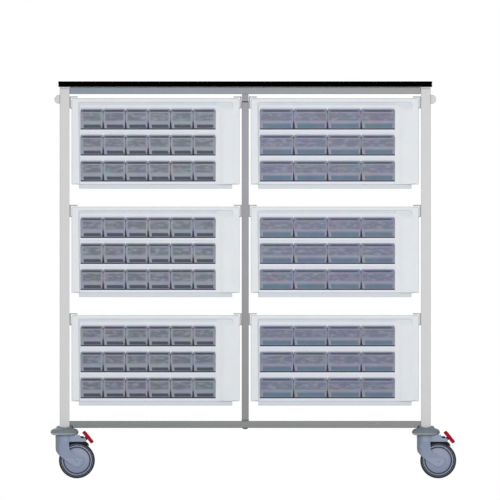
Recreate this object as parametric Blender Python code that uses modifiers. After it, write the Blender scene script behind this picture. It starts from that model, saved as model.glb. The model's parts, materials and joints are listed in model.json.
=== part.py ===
"""Medical storage trolley: a tube frame on four braked casters that carries six hanging
casings, each with three rows of clear tilting bins. Metres, +Z up, front towards -Y.
The origin lies on the floor, in the middle of the whole outline."""

import math

import bmesh
import bpy
from mathutils import Matrix

# Frame of corner posts, rails and worktop
POST_SIDE = 0.035
POST_WALL = 0.002
POST_CORNER = 0.003
CENTRE_POST_SIDE = 0.025
SPIGOT_LENGTH = 0.025
SPIGOT_STEP = 0.001
RAIL_SIDE = 0.025
RAIL_SETBACK = 0.005
FRAME_DEPTH = 0.450
WORKTOP_THICKNESS = 0.018
WORKTOP_OVERHANG = 0.005
WORKTOP_EDGE = 0.002
WORKTOP_EDGE_STEPS = 2
SEAT_GAP = 0.0003
WELD_LAP = 0.001

# Push handles at both ends
HANDLE_DROP = 0.062
HANDLE_OFFSET = 0.0025
HANDLE_RADIUS = 0.014
BOSS_RADIUS = 0.0165
BOSS_LAP = 0.004
HANDLE_SIDES = 20

# Hanging casings and the runners that carry them
LEVEL_GAP = 0.064
MODULE_TOP_GAP = 0.015
MODULE_BOTTOM_GAP = 0.055
MODULE_SIDE_GAP = 0.002
MODULE_WIDTH = 0.600
MODULE_DEPTH = 0.400
MODULE_SETBACK = 0.005
FLANGE_THICKNESS = 0.008
FLANGE_TOP_BORDER = 0.014
FLANGE_SIDE_BORDER = 0.0245
PANEL_RECESS = 0.005
PANEL_THICKNESS = 0.003
CASING_FOOT = 0.0264
CASING_DROP = 0.015
CASING_TAPER = 0.004
CASING_WALL = 0.003
CASING_LAP = 0.002
CASING_TOP_DROP = 0.006
HANGER_THICKNESS = 0.004
RUNNER_WEB = 0.0055
RUNNER_HEIGHT = 0.043
RUNNER_LIP = 0.003
RUNNER_TOP_REACH = 0.029
RUNNER_END_SETBACK = 0.003
RUNNER_STUB = 0.001
LIP_CLEARANCE = 0.0035
LIP_SIDE_GAP = 0.0025
LIP_CUTBACK = 0.003

# Tilting bins
BIN_SIDE_MARGIN = 0.0025
BLANK_WIDTH = 0.0565
BIN_ROW_TOP = 0.038
LEDGE_HEIGHT = 0.0198
BIN_ROWS = 3
BIN_COUNTS = {"left": 6, "right": 4}
BIN_HEIGHT = 0.073
BIN_FLOOR_DEPTH = 0.064
BIN_TOP_DEPTH = 0.084
BIN_BACK_HEIGHT = 0.044
BIN_LEAN = 0.004
BIN_CHAMFER = 0.003
BIN_WALL = 0.002
BIN_GAP = 0.002
BIN_BRIDGE = 0.010
BIN_PROUD = 0.001
PIVOT_HEIGHT = 0.006
PIVOT_SETBACK = 0.006
PIN_RADIUS = 0.003
PIN_CLEARANCE = 0.0003
PIN_ENGAGEMENT = 0.0025
PIN_SIDES = 8
ROW_SIDE_GAP = 0.0015
LINTEL_GAP = 0.001
SILL_GAP = 0.0015
CHEEK_THICKNESS = 0.003
CHEEK_DEPTH = 0.030
CUT_OVERRUN = 0.010

# Casters with a bumper ring, a swivel housing, a wheel and a brake pedal
WHEEL_RADIUS = 0.065
WHEEL_WIDTH = 0.032
WHEEL_STEPS = 24
TYRE_THICKNESS = 0.015
TYRE_SHOULDER = 0.005
HUB_INSET = 0.001
AXLE_RADIUS = 0.005
AXLE_CLEARANCE = 0.0003
AXLE_SIDES = 10
CASTER_TRAIL = 0.044
HOUSING_WIDTH = 0.050
NECK_RADIUS = 0.031
NECK_HEIGHT = 0.023
NECK_FLARE = 0.0005
ARM_CLEARANCE = 0.001
NECK_SIDES = 24
LEG_KNEE_DROP = 0.048
LEG_CALF_X = 0.020
LEG_CALF_DROP = 0.068
LEG_INNER_X = 0.019
LEG_SHIN_X = 0.030
LEG_END_RADIUS = 0.024
LEG_END_FROM = 230.0
LEG_END_TO = 375.0
ARM_REACH = 0.079
ARM_STEP_X = 0.055
ARM_SLOPE_RUN = 0.005
ARM_SLOPE_DROP = 0.0045
ARM_TIP_BACK = 0.005
ARM_TIP_DROP = 0.0095
ARM_NOSE_RISE = 0.005
ARM_NOSE_BACK = 0.003
WHEEL_ROOM = 0.003
WHEEL_SIDE_ROOM = 0.0015
BUMPER_RADIUS = 0.050
BUMPER_HEIGHT = 0.026
BUMPER_RIM_UP = 0.010
BUMPER_RIM_LOW = 0.014
BUMPER_FOOT_RADIUS = 0.036
BUMPER_STEPS = 16
COLLAR_RADIUS = 0.031
COLLAR_WALL = 0.004
COLLAR_RISE = 0.007
COLLAR_SKIRT = 0.002
NOTCH_CLEARANCE = 0.001
STEM_LENGTH = 0.050
SWIVEL_PIN_RADIUS = 0.010
SWIVEL_PIN_LENGTH = 0.013
PEDAL_PIVOT_BACK = 0.008
PEDAL_PIVOT_DROP = 0.015
PEDAL_CENTRE_X = 0.014
PEDAL_CENTRE_Z = 0.0075
PEDAL_TILT = -51.0
PEDAL_LENGTH = 0.052
PEDAL_THICKNESS = 0.012
PEDAL_WIDTH = 0.040
PEDAL_END_STEPS = 4
LUG_RADIUS = 0.0065
LUG_WIDTH = 0.016
LUG_CLEARANCE = 0.0005
LUG_SLOT_DEPTH = 0.009
PEDAL_PIN_RADIUS = 0.003
PEDAL_PIN_LENGTH = 0.026

LEVELS = ("upper", "middle", "lower")
SIDES = {"left": -1, "right": 1}
ENDS = {"front": -1, "rear": 1}

# Places worked out from the sizes above, from the floor up
AXLE_Z = WHEEL_RADIUS * math.cos(math.pi / WHEEL_STEPS)
ARM_UNDERSIDE = AXLE_Z + WHEEL_RADIUS + ARM_CLEARANCE
HOUSING_TOP = ARM_UNDERSIDE + NECK_HEIGHT
PEDAL_PIVOT_X = ARM_REACH - PEDAL_PIVOT_BACK
BASE_HEIGHT = HOUSING_TOP + BUMPER_HEIGHT + 2 * SEAT_GAP
BIN_ROW_STEP = BIN_HEIGHT + LEDGE_HEIGHT
CASING_HEIGHT = BIN_ROW_TOP + BIN_ROWS * BIN_ROW_STEP - LEDGE_HEIGHT + CASING_FOOT
FLANGE_HEIGHT = CASING_HEIGHT - CASING_DROP
LEVEL_STEP = CASING_HEIGHT + LEVEL_GAP
LOWEST_MODULE_TOP = BASE_HEIGHT + RAIL_SIDE + MODULE_BOTTOM_GAP + CASING_HEIGHT
MODULE_TOP = LOWEST_MODULE_TOP + (len(LEVELS) - 1) * LEVEL_STEP
TOP_RAIL_UNDERSIDE = MODULE_TOP + MODULE_TOP_GAP
POST_TOP = TOP_RAIL_UNDERSIDE + RAIL_SIDE
WORKTOP_HEIGHT = POST_TOP + SEAT_GAP + WORKTOP_THICKNESS

# Places worked out across the trolley and from its front to its back
BAY_WIDTH = MODULE_WIDTH + 2 * (RUNNER_WEB + MODULE_SIDE_GAP)
FRAME_WIDTH = 2 * POST_SIDE + CENTRE_POST_SIDE + 2 * BAY_WIDTH
POST_X = (FRAME_WIDTH - POST_SIDE) / 2
POST_Y = (FRAME_DEPTH - POST_SIDE) / 2
BAY_X = (CENTRE_POST_SIDE + BAY_WIDTH) / 2
BAY_EDGE_X = FRAME_WIDTH / 2 - POST_SIDE
FLANGE_FRONT = -FRAME_DEPTH / 2 + MODULE_SETBACK
PANEL_FRONT = FLANGE_FRONT + PANEL_RECESS
CASING_HALF = MODULE_WIDTH / 2 - FLANGE_SIDE_BORDER + CASING_LAP
RUNNER_LOWER_REACH = BAY_WIDTH / 2 - CASING_HALF - LIP_SIDE_GAP
RUNNER_TOP = LIP_CLEARANCE + RUNNER_LIP
RUNNER_LOW = RUNNER_TOP - RUNNER_HEIGHT
HANGER_LOW = RUNNER_LOW + RUNNER_LIP + SEAT_GAP
INNER_HALF = CASING_HALF - CASING_TAPER - CASING_WALL
BIN_ROW_WIDTH = 2 * INNER_HALF - BIN_SIDE_MARGIN - BLANK_WIDTH
ROW_X = BIN_SIDE_MARGIN + BIN_ROW_WIDTH / 2 - INNER_HALF
ROW_Y = PANEL_FRONT - BIN_PROUD + PIVOT_SETBACK
# The wheels trail to +X, so the outline reaches further on that side than on the other.
CENTRE_X = (BUMPER_RADIUS - CASTER_TRAIL - WHEEL_RADIUS) / 2


def clear_scene():
    for old in list(bpy.data.objects):
        bpy.data.objects.remove(old, do_unlink=True)


def new_collection(name):
    made = bpy.data.collections.new(name)
    bpy.context.scene.collection.children.link(made)
    return made


clear_scene()
PARTS = new_collection("medical_trolley")
CUTTERS = new_collection("cutters")


def material(name, colour, roughness, metallic=0.0, alpha=1.0):
    made = bpy.data.materials.new(name)
    made.use_nodes = True
    shader = made.node_tree.nodes["Principled BSDF"]
    shader.inputs["Base Color"].default_value = (*colour, 1.0)
    shader.inputs["Roughness"].default_value = roughness
    shader.inputs["Metallic"].default_value = metallic
    shader.inputs["Alpha"].default_value = alpha
    return made


LAMINATE = material("black_laminate", (0.012, 0.012, 0.013), 0.35)
POST_PAINT = material("light_grey_paint", (0.62, 0.62, 0.63), 0.40)
RAIL_METAL = material("grey_anodised_metal", (0.33, 0.34, 0.36), 0.40, 0.6)
RUNNER_METAL = material("runner_metal", (0.42, 0.43, 0.44), 0.40, 0.6)
CASING_PLASTIC = material("white_plastic", (0.78, 0.81, 0.83), 0.45)
BIN_PLASTIC = material("clear_bin_plastic", (0.40, 0.43, 0.50), 0.15, 0.0, 0.6)
CASTER_PLASTIC = material("caster_grey_plastic", (0.25, 0.29, 0.34), 0.40)
TYRE_RUBBER = material("dark_tyre_rubber", (0.03, 0.035, 0.045), 0.60)
BUMPER_RUBBER = material("bumper_rubber", (0.20, 0.22, 0.24), 0.55)
PEDAL_RED = material("red_plastic", (0.62, 0.01, 0.03), 0.35)


def helper(mesh):
    """A hidden object in the cutters' collection that carries a mesh through a modifier."""
    made = bpy.data.objects.new("helper", mesh)
    made.hide_render = True
    made.display_type = "WIRE"
    CUTTERS.objects.link(made)
    return made


def finished(obj):
    """The object's evaluated mesh, welded and facing out. The object itself is removed."""
    bpy.context.view_layer.update()
    graph = bpy.context.evaluated_depsgraph_get()
    mesh = bpy.data.meshes.new_from_object(obj.evaluated_get(graph))
    mesh.transform(obj.matrix_world)
    bpy.data.objects.remove(obj, do_unlink=True)
    bm = bmesh.new()
    bm.from_mesh(mesh)
    bmesh.ops.remove_doubles(bm, verts=bm.verts, dist=1e-6)
    bmesh.ops.recalc_face_normals(bm, faces=bm.faces)
    bm.to_mesh(mesh)
    bm.free()
    return mesh


def boolean(mesh, operation, *others):
    """The mesh after a union with, or a cut by, each of the other meshes in turn."""
    base = helper(mesh)
    tools = [helper(other) for other in others]
    for tool in tools:
        modifier = base.modifiers.new(operation.lower(), "BOOLEAN")
        modifier.operation = operation
        modifier.object = tool
    made = finished(base)
    for tool in tools:
        bpy.data.objects.remove(tool, do_unlink=True)
    return made


def box(low, high):
    """A box between two corners."""
    bm = bmesh.new()
    bmesh.ops.create_cube(bm, size=1.0)
    for vert in bm.verts:
        for axis in range(3):
            share = vert.co[axis] + 0.5
            vert.co[axis] = low[axis] + share * (high[axis] - low[axis])
    mesh = bpy.data.meshes.new("box")
    bm.to_mesh(mesh)
    bm.free()
    return mesh


def tapered_box(low, high, taper):
    """A box whose two sides lean in by the taper from its top to its bottom."""
    mesh = box(low, high)
    middle = (low[0] + high[0]) / 2
    for vert in mesh.vertices:
        if vert.co.z < (low[2] + high[2]) / 2:
            vert.co.x -= math.copysign(taper, vert.co.x - middle)
    return mesh


TO_AXIS = {
    "X": Matrix.Rotation(math.pi / 2, 4, "Y"),
    "Y": Matrix.Rotation(-math.pi / 2, 4, "X"),
    "Z": Matrix.Identity(4),
}


def cylinder(centre, radius, length, axis, sides):
    bm = bmesh.new()
    place = Matrix.Translation(centre) @ TO_AXIS[axis]
    bmesh.ops.create_cone(
        bm,
        cap_ends=True,
        segments=sides,
        radius1=radius,
        radius2=radius,
        depth=length,
        matrix=place,
    )
    mesh = bpy.data.meshes.new("cylinder")
    bm.to_mesh(mesh)
    bm.free()
    return mesh


def arc(centre, radius, start, end, steps):
    """Points along an arc, with angles in degrees from the first axis."""
    points = []
    for step in range(steps + 1):
        angle = math.radians(start + (end - start) * step / steps)
        points.append((centre[0] + radius * math.cos(angle), centre[1] + radius * math.sin(angle)))
    return points


OUTLINE_TURN = {"XY": (0, 0, 0), "XZ": (math.pi / 2, 0, 0), "YZ": (math.pi / 2, 0, math.pi / 2)}


def plate(outlines, thickness, plane):
    """A flat outline, with any holes after it, drawn in a plane and thickened evenly to both sides."""
    curve = bpy.data.curves.new("outline", "CURVE")
    curve.dimensions = "2D"
    curve.fill_mode = "BOTH"
    curve.extrude = thickness / 2
    for points in outlines:
        spline = curve.splines.new("POLY")
        spline.points.add(len(points) - 1)
        for point, place in zip(spline.points, points):
            point.co = (*place, 0.0, 1.0)
        spline.use_cyclic_u = True
    drawn = helper(curve)
    drawn.rotation_euler = OUTLINE_TURN[plane]
    return finished(drawn)


def turned(profile, steps, closed=False):
    """A profile of radius and height, run from its top down its outer side, turned about Z."""
    mesh = bpy.data.meshes.new("profile")
    edges = [(i, i + 1) for i in range(len(profile) - 1)]
    if closed:
        edges.append((len(profile) - 1, 0))
    mesh.from_pydata([(radius, 0.0, height) for radius, height in profile], edges, [])
    drawn = helper(mesh)
    screw = drawn.modifiers.new("turn", "SCREW")
    screw.steps = steps
    screw.render_steps = steps
    screw.use_merge_vertices = True
    screw.merge_threshold = 1e-5
    return finished(drawn)


def moved(mesh, matrix):
    mesh.transform(matrix)
    return mesh


def rounded(mesh, angle=35.0):
    """Smooth shading that keeps the sharp edges."""
    mesh.shade_smooth()
    mesh.set_sharp_from_angle(angle=math.radians(angle))
    return mesh


def empty(name, location, parent=None):
    made = bpy.data.objects.new(name, None)
    made.location = location
    made.parent = parent
    PARTS.objects.link(made)
    return made


def place(name, mesh, finish, parent, location=(0.0, 0.0, 0.0), turn=0.0):
    """One named sub-part. The mesh may be shared with its twins."""
    made = bpy.data.objects.new(name, mesh)
    made.location = location
    made.rotation_euler = (0.0, 0.0, math.radians(turn))
    made.parent = parent
    if not mesh.materials:
        mesh.materials.append(finish)
    PARTS.objects.link(made)
    return made


def rectangle(half_x, half_y, centre=(0.0, 0.0)):
    corners = ((-1, -1), (1, -1), (1, 1), (-1, 1))
    return [(centre[0] + x * half_x, centre[1] + y * half_y) for x, y in corners]


def rounded_square(half, corner, steps=2):
    inner = half - corner
    points = []
    for index, (x, y) in enumerate(((inner, inner), (-inner, inner), (-inner, -inner), (inner, -inner))):
        points += arc((x, y), corner, 90.0 * index, 90.0 * index + 90.0, steps)
    return points


def worktop_mesh():
    half = (FRAME_WIDTH / 2 + WORKTOP_OVERHANG, FRAME_DEPTH / 2 + WORKTOP_OVERHANG)
    slab = helper(
        box(
            (-half[0], -half[1], WORKTOP_HEIGHT - WORKTOP_THICKNESS),
            (half[0], half[1], WORKTOP_HEIGHT),
        )
    )
    edge = slab.modifiers.new("eased_edges", "BEVEL")
    edge.width = WORKTOP_EDGE
    edge.segments = WORKTOP_EDGE_STEPS
    return rounded(finished(slab))


def ladder_mesh(low_z):
    """Two long rails joined by three cross bars, flush with the rails."""
    half_x = BAY_EDGE_X - SEAT_GAP
    half_y = FRAME_DEPTH / 2 - RAIL_SETBACK
    hole_low = CENTRE_POST_SIDE / 2
    hole_high = half_x - RAIL_SIDE
    hole = ((hole_high - hole_low) / 2, half_y - RAIL_SIDE)
    hole_x = (hole_high + hole_low) / 2
    outlines = [
        rectangle(half_x, half_y),
        rectangle(*hole, (-hole_x, 0.0)),
        rectangle(*hole, (hole_x, 0.0)),
    ]
    return moved(plate(outlines, RAIL_SIDE, "XY"), Matrix.Translation((0, 0, low_z + RAIL_SIDE / 2)))


def bottom_frame_mesh():
    """The lower ladder, with its corners notched around the bumpers' collars."""
    radius = COLLAR_RADIUS + NOTCH_CLEARANCE
    depth = COLLAR_RISE + NOTCH_CLEARANCE
    notches = []
    for side in SIDES.values():
        for end in ENDS.values():
            centre = (side * POST_X, end * POST_Y, BASE_HEIGHT)
            notches.append(cylinder(centre, radius, 2 * depth, "Z", BUMPER_STEPS))
    return boolean(ladder_mesh(BASE_HEIGHT), "DIFFERENCE", *notches)


def post_mesh():
    tube = [
        rounded_square(POST_SIDE / 2, POST_CORNER),
        rectangle(POST_SIDE / 2 - POST_WALL, POST_SIDE / 2 - POST_WALL),
    ]
    middle = (BASE_HEIGHT + POST_TOP) / 2
    mesh = plate(tube, POST_TOP - BASE_HEIGHT, "XY")
    return rounded(moved(mesh, Matrix.Translation((0, 0, middle))))


def runner_mesh(start):
    """A channel along Y. x is 0 at the post's face, z is 0 at the top of the casing that hangs in it."""
    profile = [
        (start, RUNNER_TOP),
        (RUNNER_TOP_REACH, RUNNER_TOP),
        (RUNNER_TOP_REACH, RUNNER_TOP - RUNNER_LIP),
        (RUNNER_WEB, RUNNER_TOP - RUNNER_LIP),
        (RUNNER_WEB, RUNNER_LOW + RUNNER_LIP),
        (RUNNER_LOWER_REACH, RUNNER_LOW + RUNNER_LIP),
        (RUNNER_LOWER_REACH, RUNNER_LOW),
        (start, RUNNER_LOW),
    ]
    half = FRAME_DEPTH / 2 - RUNNER_END_SETBACK
    channel = plate([profile], 2 * half, "XZ")
    lip_end = MODULE_SETBACK + FLANGE_THICKNESS + LIP_CUTBACK
    cutters = []
    for end in ENDS.values():
        inner = end * (FRAME_DEPTH / 2 - lip_end)
        outer = end * (FRAME_DEPTH / 2 + CUT_OVERRUN)
        cutters.append(
            box(
                (RUNNER_WEB + RUNNER_STUB, min(inner, outer), RUNNER_LOW - CUT_OVERRUN),
                (RUNNER_LOWER_REACH + CUT_OVERRUN, max(inner, outer), RUNNER_LOW + 2 * RUNNER_LIP),
            )
        )
    return boolean(channel, "DIFFERENCE", *cutters)


def level_z(level):
    return MODULE_TOP - LEVELS.index(level) * LEVEL_STEP


def centre_frame_mesh():
    """The two centre posts, joined by back-to-back runners at each level."""
    half = CENTRE_POST_SIDE / 2
    outer_y = FRAME_DEPTH / 2 - RAIL_SETBACK
    foot = BASE_HEIGHT + RAIL_SIDE + SEAT_GAP
    head = TOP_RAIL_UNDERSIDE - SEAT_GAP
    pieces = []
    for end in ENDS.values():
        span_y = sorted((end * outer_y, end * (outer_y - CENTRE_POST_SIDE)))
        pieces.append(box((-half, span_y[0], foot), (half, span_y[1], head - SPIGOT_LENGTH)))
        narrow = half - SPIGOT_STEP
        step_y = (span_y[0] + SPIGOT_STEP, span_y[1] - SPIGOT_STEP)
        spigot_foot = head - SPIGOT_LENGTH - WELD_LAP
        pieces.append(box((-narrow, step_y[0], spigot_foot), (narrow, step_y[1], head)))
    for level in LEVELS:
        for turn in (0.0, math.pi):
            runner = runner_mesh(-WELD_LAP)
            shift = Matrix.Translation((0, 0, level_z(level))) @ Matrix.Rotation(turn, 4, "Z")
            pieces.append(moved(runner, shift @ Matrix.Translation((half, 0, 0))))
    return boolean(pieces[0], "UNION", *pieces[1:])


def handle_mesh():
    """A grab bar between the posts with a boss at each end. x is 0 at the posts' outer faces."""
    bar_half = FRAME_DEPTH / 2 - POST_SIDE - SEAT_GAP
    bar = cylinder((HANDLE_OFFSET, 0, 0), HANDLE_RADIUS, 2 * bar_half, "Y", HANDLE_SIDES)
    outline = arc((HANDLE_OFFSET, 0.0), BOSS_RADIUS, -90.0, 90.0, HANDLE_SIDES // 2)
    outline += [(SEAT_GAP, BOSS_RADIUS), (SEAT_GAP, -BOSS_RADIUS)]
    boss_inner = bar_half - BOSS_LAP
    boss_length = FRAME_DEPTH / 2 - boss_inner
    bosses = []
    for end in ENDS.values():
        shift = Matrix.Translation((0, end * (boss_inner + boss_length / 2), 0))
        bosses.append(moved(plate([outline], boss_length, "XZ"), shift))
    return rounded(boolean(bar, "UNION", *bosses))


def casing_mesh():
    """The hanging casing. x is 0 in the middle of the bay, z is 0 at the flange's top."""
    opening_half = CASING_HALF - CASING_LAP
    back = FLANGE_FRONT + MODULE_DEPTH
    body = tapered_box(
        (-CASING_HALF, PANEL_FRONT, -CASING_HEIGHT),
        (CASING_HALF, back, -CASING_TOP_DROP),
        CASING_TAPER,
    )
    flange = box(
        (-MODULE_WIDTH / 2, FLANGE_FRONT, -FLANGE_HEIGHT),
        (MODULE_WIDTH / 2, FLANGE_FRONT + FLANGE_THICKNESS, 0),
    )
    recess = tapered_box(
        (-opening_half, FLANGE_FRONT - CUT_OVERRUN, -CASING_HEIGHT),
        (opening_half, FLANGE_FRONT + FLANGE_THICKNESS + CUT_OVERRUN, -FLANGE_TOP_BORDER),
        CASING_TAPER,
    )
    hangers = []
    for side in SIDES.values():
        span = sorted((side * (opening_half - CASING_TAPER), side * MODULE_WIDTH / 2))
        hanger_front = FLANGE_FRONT + FLANGE_THICKNESS - WELD_LAP
        hangers.append(
            box(
                (span[0], hanger_front, HANGER_LOW),
                (span[1], back, HANGER_LOW + HANGER_THICKNESS),
            )
        )
    shell = boolean(boolean(flange, "DIFFERENCE", recess), "UNION", body, *hangers)
    cavity = tapered_box(
        (CASING_WALL - CASING_HALF, PANEL_FRONT + PANEL_THICKNESS, CASING_WALL - CASING_HEIGHT),
        (CASING_HALF - CASING_WALL, back - CASING_WALL, -CASING_TOP_DROP - CASING_WALL),
        CASING_TAPER,
    )
    row_half = BIN_ROW_WIDTH / 2 + ROW_SIDE_GAP
    windows = []
    for row in range(BIN_ROWS):
        top = -BIN_ROW_TOP - row * BIN_ROW_STEP
        windows.append(
            box(
                (ROW_X - row_half, PANEL_FRONT - CUT_OVERRUN, top - BIN_HEIGHT - SILL_GAP),
                (ROW_X + row_half, PANEL_FRONT + PANEL_THICKNESS + CUT_OVERRUN, top + LINTEL_GAP),
            )
        )
    shell = boolean(shell, "DIFFERENCE", cavity, *windows)
    cheeks = []
    for side in SIDES.values():
        span = sorted((ROW_X + side * row_half, ROW_X + side * (row_half + CHEEK_THICKNESS)))
        cheek_front = PANEL_FRONT + PANEL_THICKNESS - WELD_LAP
        cheeks.append(
            box(
                (span[0], cheek_front, WELD_LAP - CASING_HEIGHT),
                (span[1], cheek_front + CHEEK_DEPTH, -CASING_TOP_DROP - WELD_LAP),
            )
        )
    shell = boolean(shell, "UNION", *cheeks)
    bores = []
    for row in range(BIN_ROWS):
        for side in SIDES.values():
            reach = row_half + CHEEK_THICKNESS / 2
            centre = (ROW_X + side * reach, ROW_Y, row_z(row))
            bore_radius = PIN_RADIUS + PIN_CLEARANCE
            bores.append(cylinder(centre, bore_radius, CHEEK_THICKNESS + 2 * WELD_LAP, "X", PIN_SIDES))
    return boolean(shell, "DIFFERENCE", *bores)


def row_z(row):
    """The height of a row's pivot below the casing's top."""
    return -BIN_ROW_TOP - row * BIN_ROW_STEP - BIN_HEIGHT + PIVOT_HEIGHT


def bin_row_mesh(count):
    """A row of bins bridged at their backs, with its origin on the pivot axis."""
    low = -PIVOT_HEIGHT
    front = -PIVOT_SETBACK
    top = BIN_HEIGHT - PIVOT_HEIGHT
    back_low = front + BIN_FLOOR_DEPTH
    back_top = front + BIN_TOP_DEPTH
    back_height = low + BIN_BACK_HEIGHT
    profile = [
        (front + BIN_CHAMFER, low),
        (front, low + BIN_CHAMFER),
        (front - BIN_LEAN, top),
        (back_top, back_height),
        (back_low, low),
    ]
    row = plate([profile], BIN_ROW_WIDTH, "YZ")
    rise = top + CUT_OVERRUN
    back_slope = (back_top - back_low) / (back_height - low)
    front_slope = BIN_LEAN / (top - low - BIN_CHAMFER)
    pocket = [
        (front + BIN_WALL + BIN_CHAMFER / 2, low + BIN_WALL),
        (front + BIN_WALL - front_slope * (rise - low - BIN_CHAMFER), rise),
        (back_low - BIN_WALL + back_slope * (rise - low), rise),
        (back_low - BIN_WALL + back_slope * BIN_WALL, low + BIN_WALL),
    ]
    pitch = BIN_ROW_WIDTH / count
    cutters = []
    for index in range(count):
        middle = -BIN_ROW_WIDTH / 2 + (index + 0.5) * pitch
        hollow = plate([pocket], pitch - BIN_GAP - 2 * BIN_WALL, "YZ")
        cutters.append(moved(hollow, Matrix.Translation((middle, 0, 0))))
    for index in range(1, count):
        middle = -BIN_ROW_WIDTH / 2 + index * pitch
        cutters.append(
            box(
                (middle - BIN_GAP / 2, front - BIN_LEAN - CUT_OVERRUN, low - CUT_OVERRUN),
                (middle + BIN_GAP / 2, back_low - BIN_BRIDGE, rise),
            )
        )
    row = boolean(row, "DIFFERENCE", *cutters)
    pin_inner = (BIN_ROW_WIDTH - BIN_WALL) / 2
    pin_outer = BIN_ROW_WIDTH / 2 + ROW_SIDE_GAP + PIN_ENGAGEMENT
    pins = []
    for side in SIDES.values():
        centre = (side * (pin_inner + pin_outer) / 2, 0, 0)
        pins.append(cylinder(centre, PIN_RADIUS, pin_outer - pin_inner, "X", PIN_SIDES))
    return boolean(row, "UNION", *pins)


def bumper_mesh():
    """The bumper ring with its stem inside the post and its swivel pin below."""
    foot = BASE_HEIGHT - SEAT_GAP - BUMPER_HEIGHT
    seat = BASE_HEIGHT - SEAT_GAP
    stem = POST_SIDE / 2 - POST_WALL - SEAT_GAP
    profile = [
        (0.0, seat + STEM_LENGTH),
        (stem, seat + STEM_LENGTH),
        (stem, seat),
        (COLLAR_RADIUS - COLLAR_WALL, seat),
        (COLLAR_RADIUS - COLLAR_WALL, seat + COLLAR_RISE),
        (COLLAR_RADIUS, seat + COLLAR_RISE),
        (COLLAR_RADIUS, seat - COLLAR_SKIRT),
        (BUMPER_RADIUS, foot + BUMPER_RIM_LOW),
        (BUMPER_RADIUS, foot + BUMPER_RIM_UP),
        (BUMPER_FOOT_RADIUS, foot),
        (SWIVEL_PIN_RADIUS, foot),
        (SWIVEL_PIN_RADIUS, foot - SWIVEL_PIN_LENGTH),
        (0.0, foot - SWIVEL_PIN_LENGTH),
    ]
    return rounded(turned(profile, BUMPER_STEPS))


def housing_mesh():
    """The swivel housing: a round neck, an arm over the wheel and two legs down to the axle."""
    axle = (CASTER_TRAIL, AXLE_Z)
    knee = HOUSING_TOP - LEG_KNEE_DROP
    calf = HOUSING_TOP - LEG_CALF_DROP
    side_outline = [
        (-NECK_RADIUS, HOUSING_TOP),
        (-NECK_RADIUS, knee),
        (-LEG_CALF_X, calf),
        *arc(axle, LEG_END_RADIUS, LEG_END_FROM, LEG_END_TO, 5),
        (LEG_SHIN_X, calf),
        (LEG_INNER_X, knee),
        (LEG_INNER_X, ARM_UNDERSIDE),
        (ARM_REACH - ARM_NOSE_BACK, ARM_UNDERSIDE),
        (ARM_REACH, ARM_UNDERSIDE + ARM_NOSE_RISE),
        (ARM_REACH - ARM_TIP_BACK, HOUSING_TOP - ARM_TIP_DROP),
        (ARM_STEP_X + ARM_SLOPE_RUN, HOUSING_TOP - ARM_SLOPE_DROP),
        (ARM_STEP_X, HOUSING_TOP),
    ]
    half = HOUSING_WIDTH / 2
    side = math.degrees(math.asin(half / NECK_RADIUS))
    plan = arc((0.0, 0.0), NECK_RADIUS, 180.0 - side, 180.0 + side, 6)
    plan += [(ARM_REACH + CUT_OVERRUN, -half), (ARM_REACH + CUT_OVERRUN, half)]
    body = plate([side_outline], 2 * NECK_RADIUS, "XZ")
    footprint = moved(plate([plan], 2 * BASE_HEIGHT, "XY"), Matrix.Translation((0, 0, HOUSING_TOP / 2)))
    body = boolean(body, "INTERSECT", footprint)
    neck_centre = (0, 0, HOUSING_TOP - NECK_HEIGHT / 2)
    neck = cylinder(neck_centre, NECK_RADIUS + NECK_FLARE, NECK_HEIGHT, "Z", NECK_SIDES)
    body = boolean(body, "UNION", neck)
    slot_width = WHEEL_WIDTH + 2 * WHEEL_SIDE_ROOM
    wheel_slot = cylinder((axle[0], 0, axle[1]), WHEEL_RADIUS + WHEEL_ROOM, slot_width, "Y", WHEEL_STEPS)
    socket_depth = SWIVEL_PIN_LENGTH + SEAT_GAP
    socket = cylinder(
        (0, 0, HOUSING_TOP),
        SWIVEL_PIN_RADIUS + AXLE_CLEARANCE,
        2 * socket_depth,
        "Z",
        BUMPER_STEPS,
    )
    pedal_z = HOUSING_TOP - PEDAL_PIVOT_DROP
    lug_half = LUG_WIDTH / 2 + LUG_CLEARANCE
    lug_slot = box(
        (PEDAL_PIVOT_X - LUG_SLOT_DEPTH, -lug_half, ARM_UNDERSIDE - CUT_OVERRUN),
        (ARM_REACH + CUT_OVERRUN, lug_half, HOUSING_TOP + CUT_OVERRUN),
    )
    body = boolean(body, "DIFFERENCE", wheel_slot, socket, lug_slot)
    leg = (HOUSING_WIDTH - slot_width) / 2
    axle_bar = cylinder((axle[0], 0, axle[1]), AXLE_RADIUS, slot_width + leg, "Y", AXLE_SIDES)
    pin = cylinder((PEDAL_PIVOT_X, 0, pedal_z), PEDAL_PIN_RADIUS, PEDAL_PIN_LENGTH, "Y", PIN_SIDES)
    return rounded(boolean(body, "UNION", axle_bar, pin))


def hub_mesh():
    """The wheel's core, with its origin on the axle."""
    outer = WHEEL_RADIUS - TYRE_THICKNESS - SEAT_GAP
    bore = AXLE_RADIUS + AXLE_CLEARANCE
    rim = WHEEL_WIDTH / 2 - HUB_INSET
    profile = [(bore, rim), (outer, rim), (outer, -rim), (bore, -rim)]
    return rounded(moved(turned(profile, WHEEL_STEPS, closed=True), WHEEL_TURN))


# The wheel stands on a flat of its many-sided rim, not on a corner.
WHEEL_TURN = Matrix.Rotation(math.pi / WHEEL_STEPS, 4, "Y") @ TO_AXIS["Y"]


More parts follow.
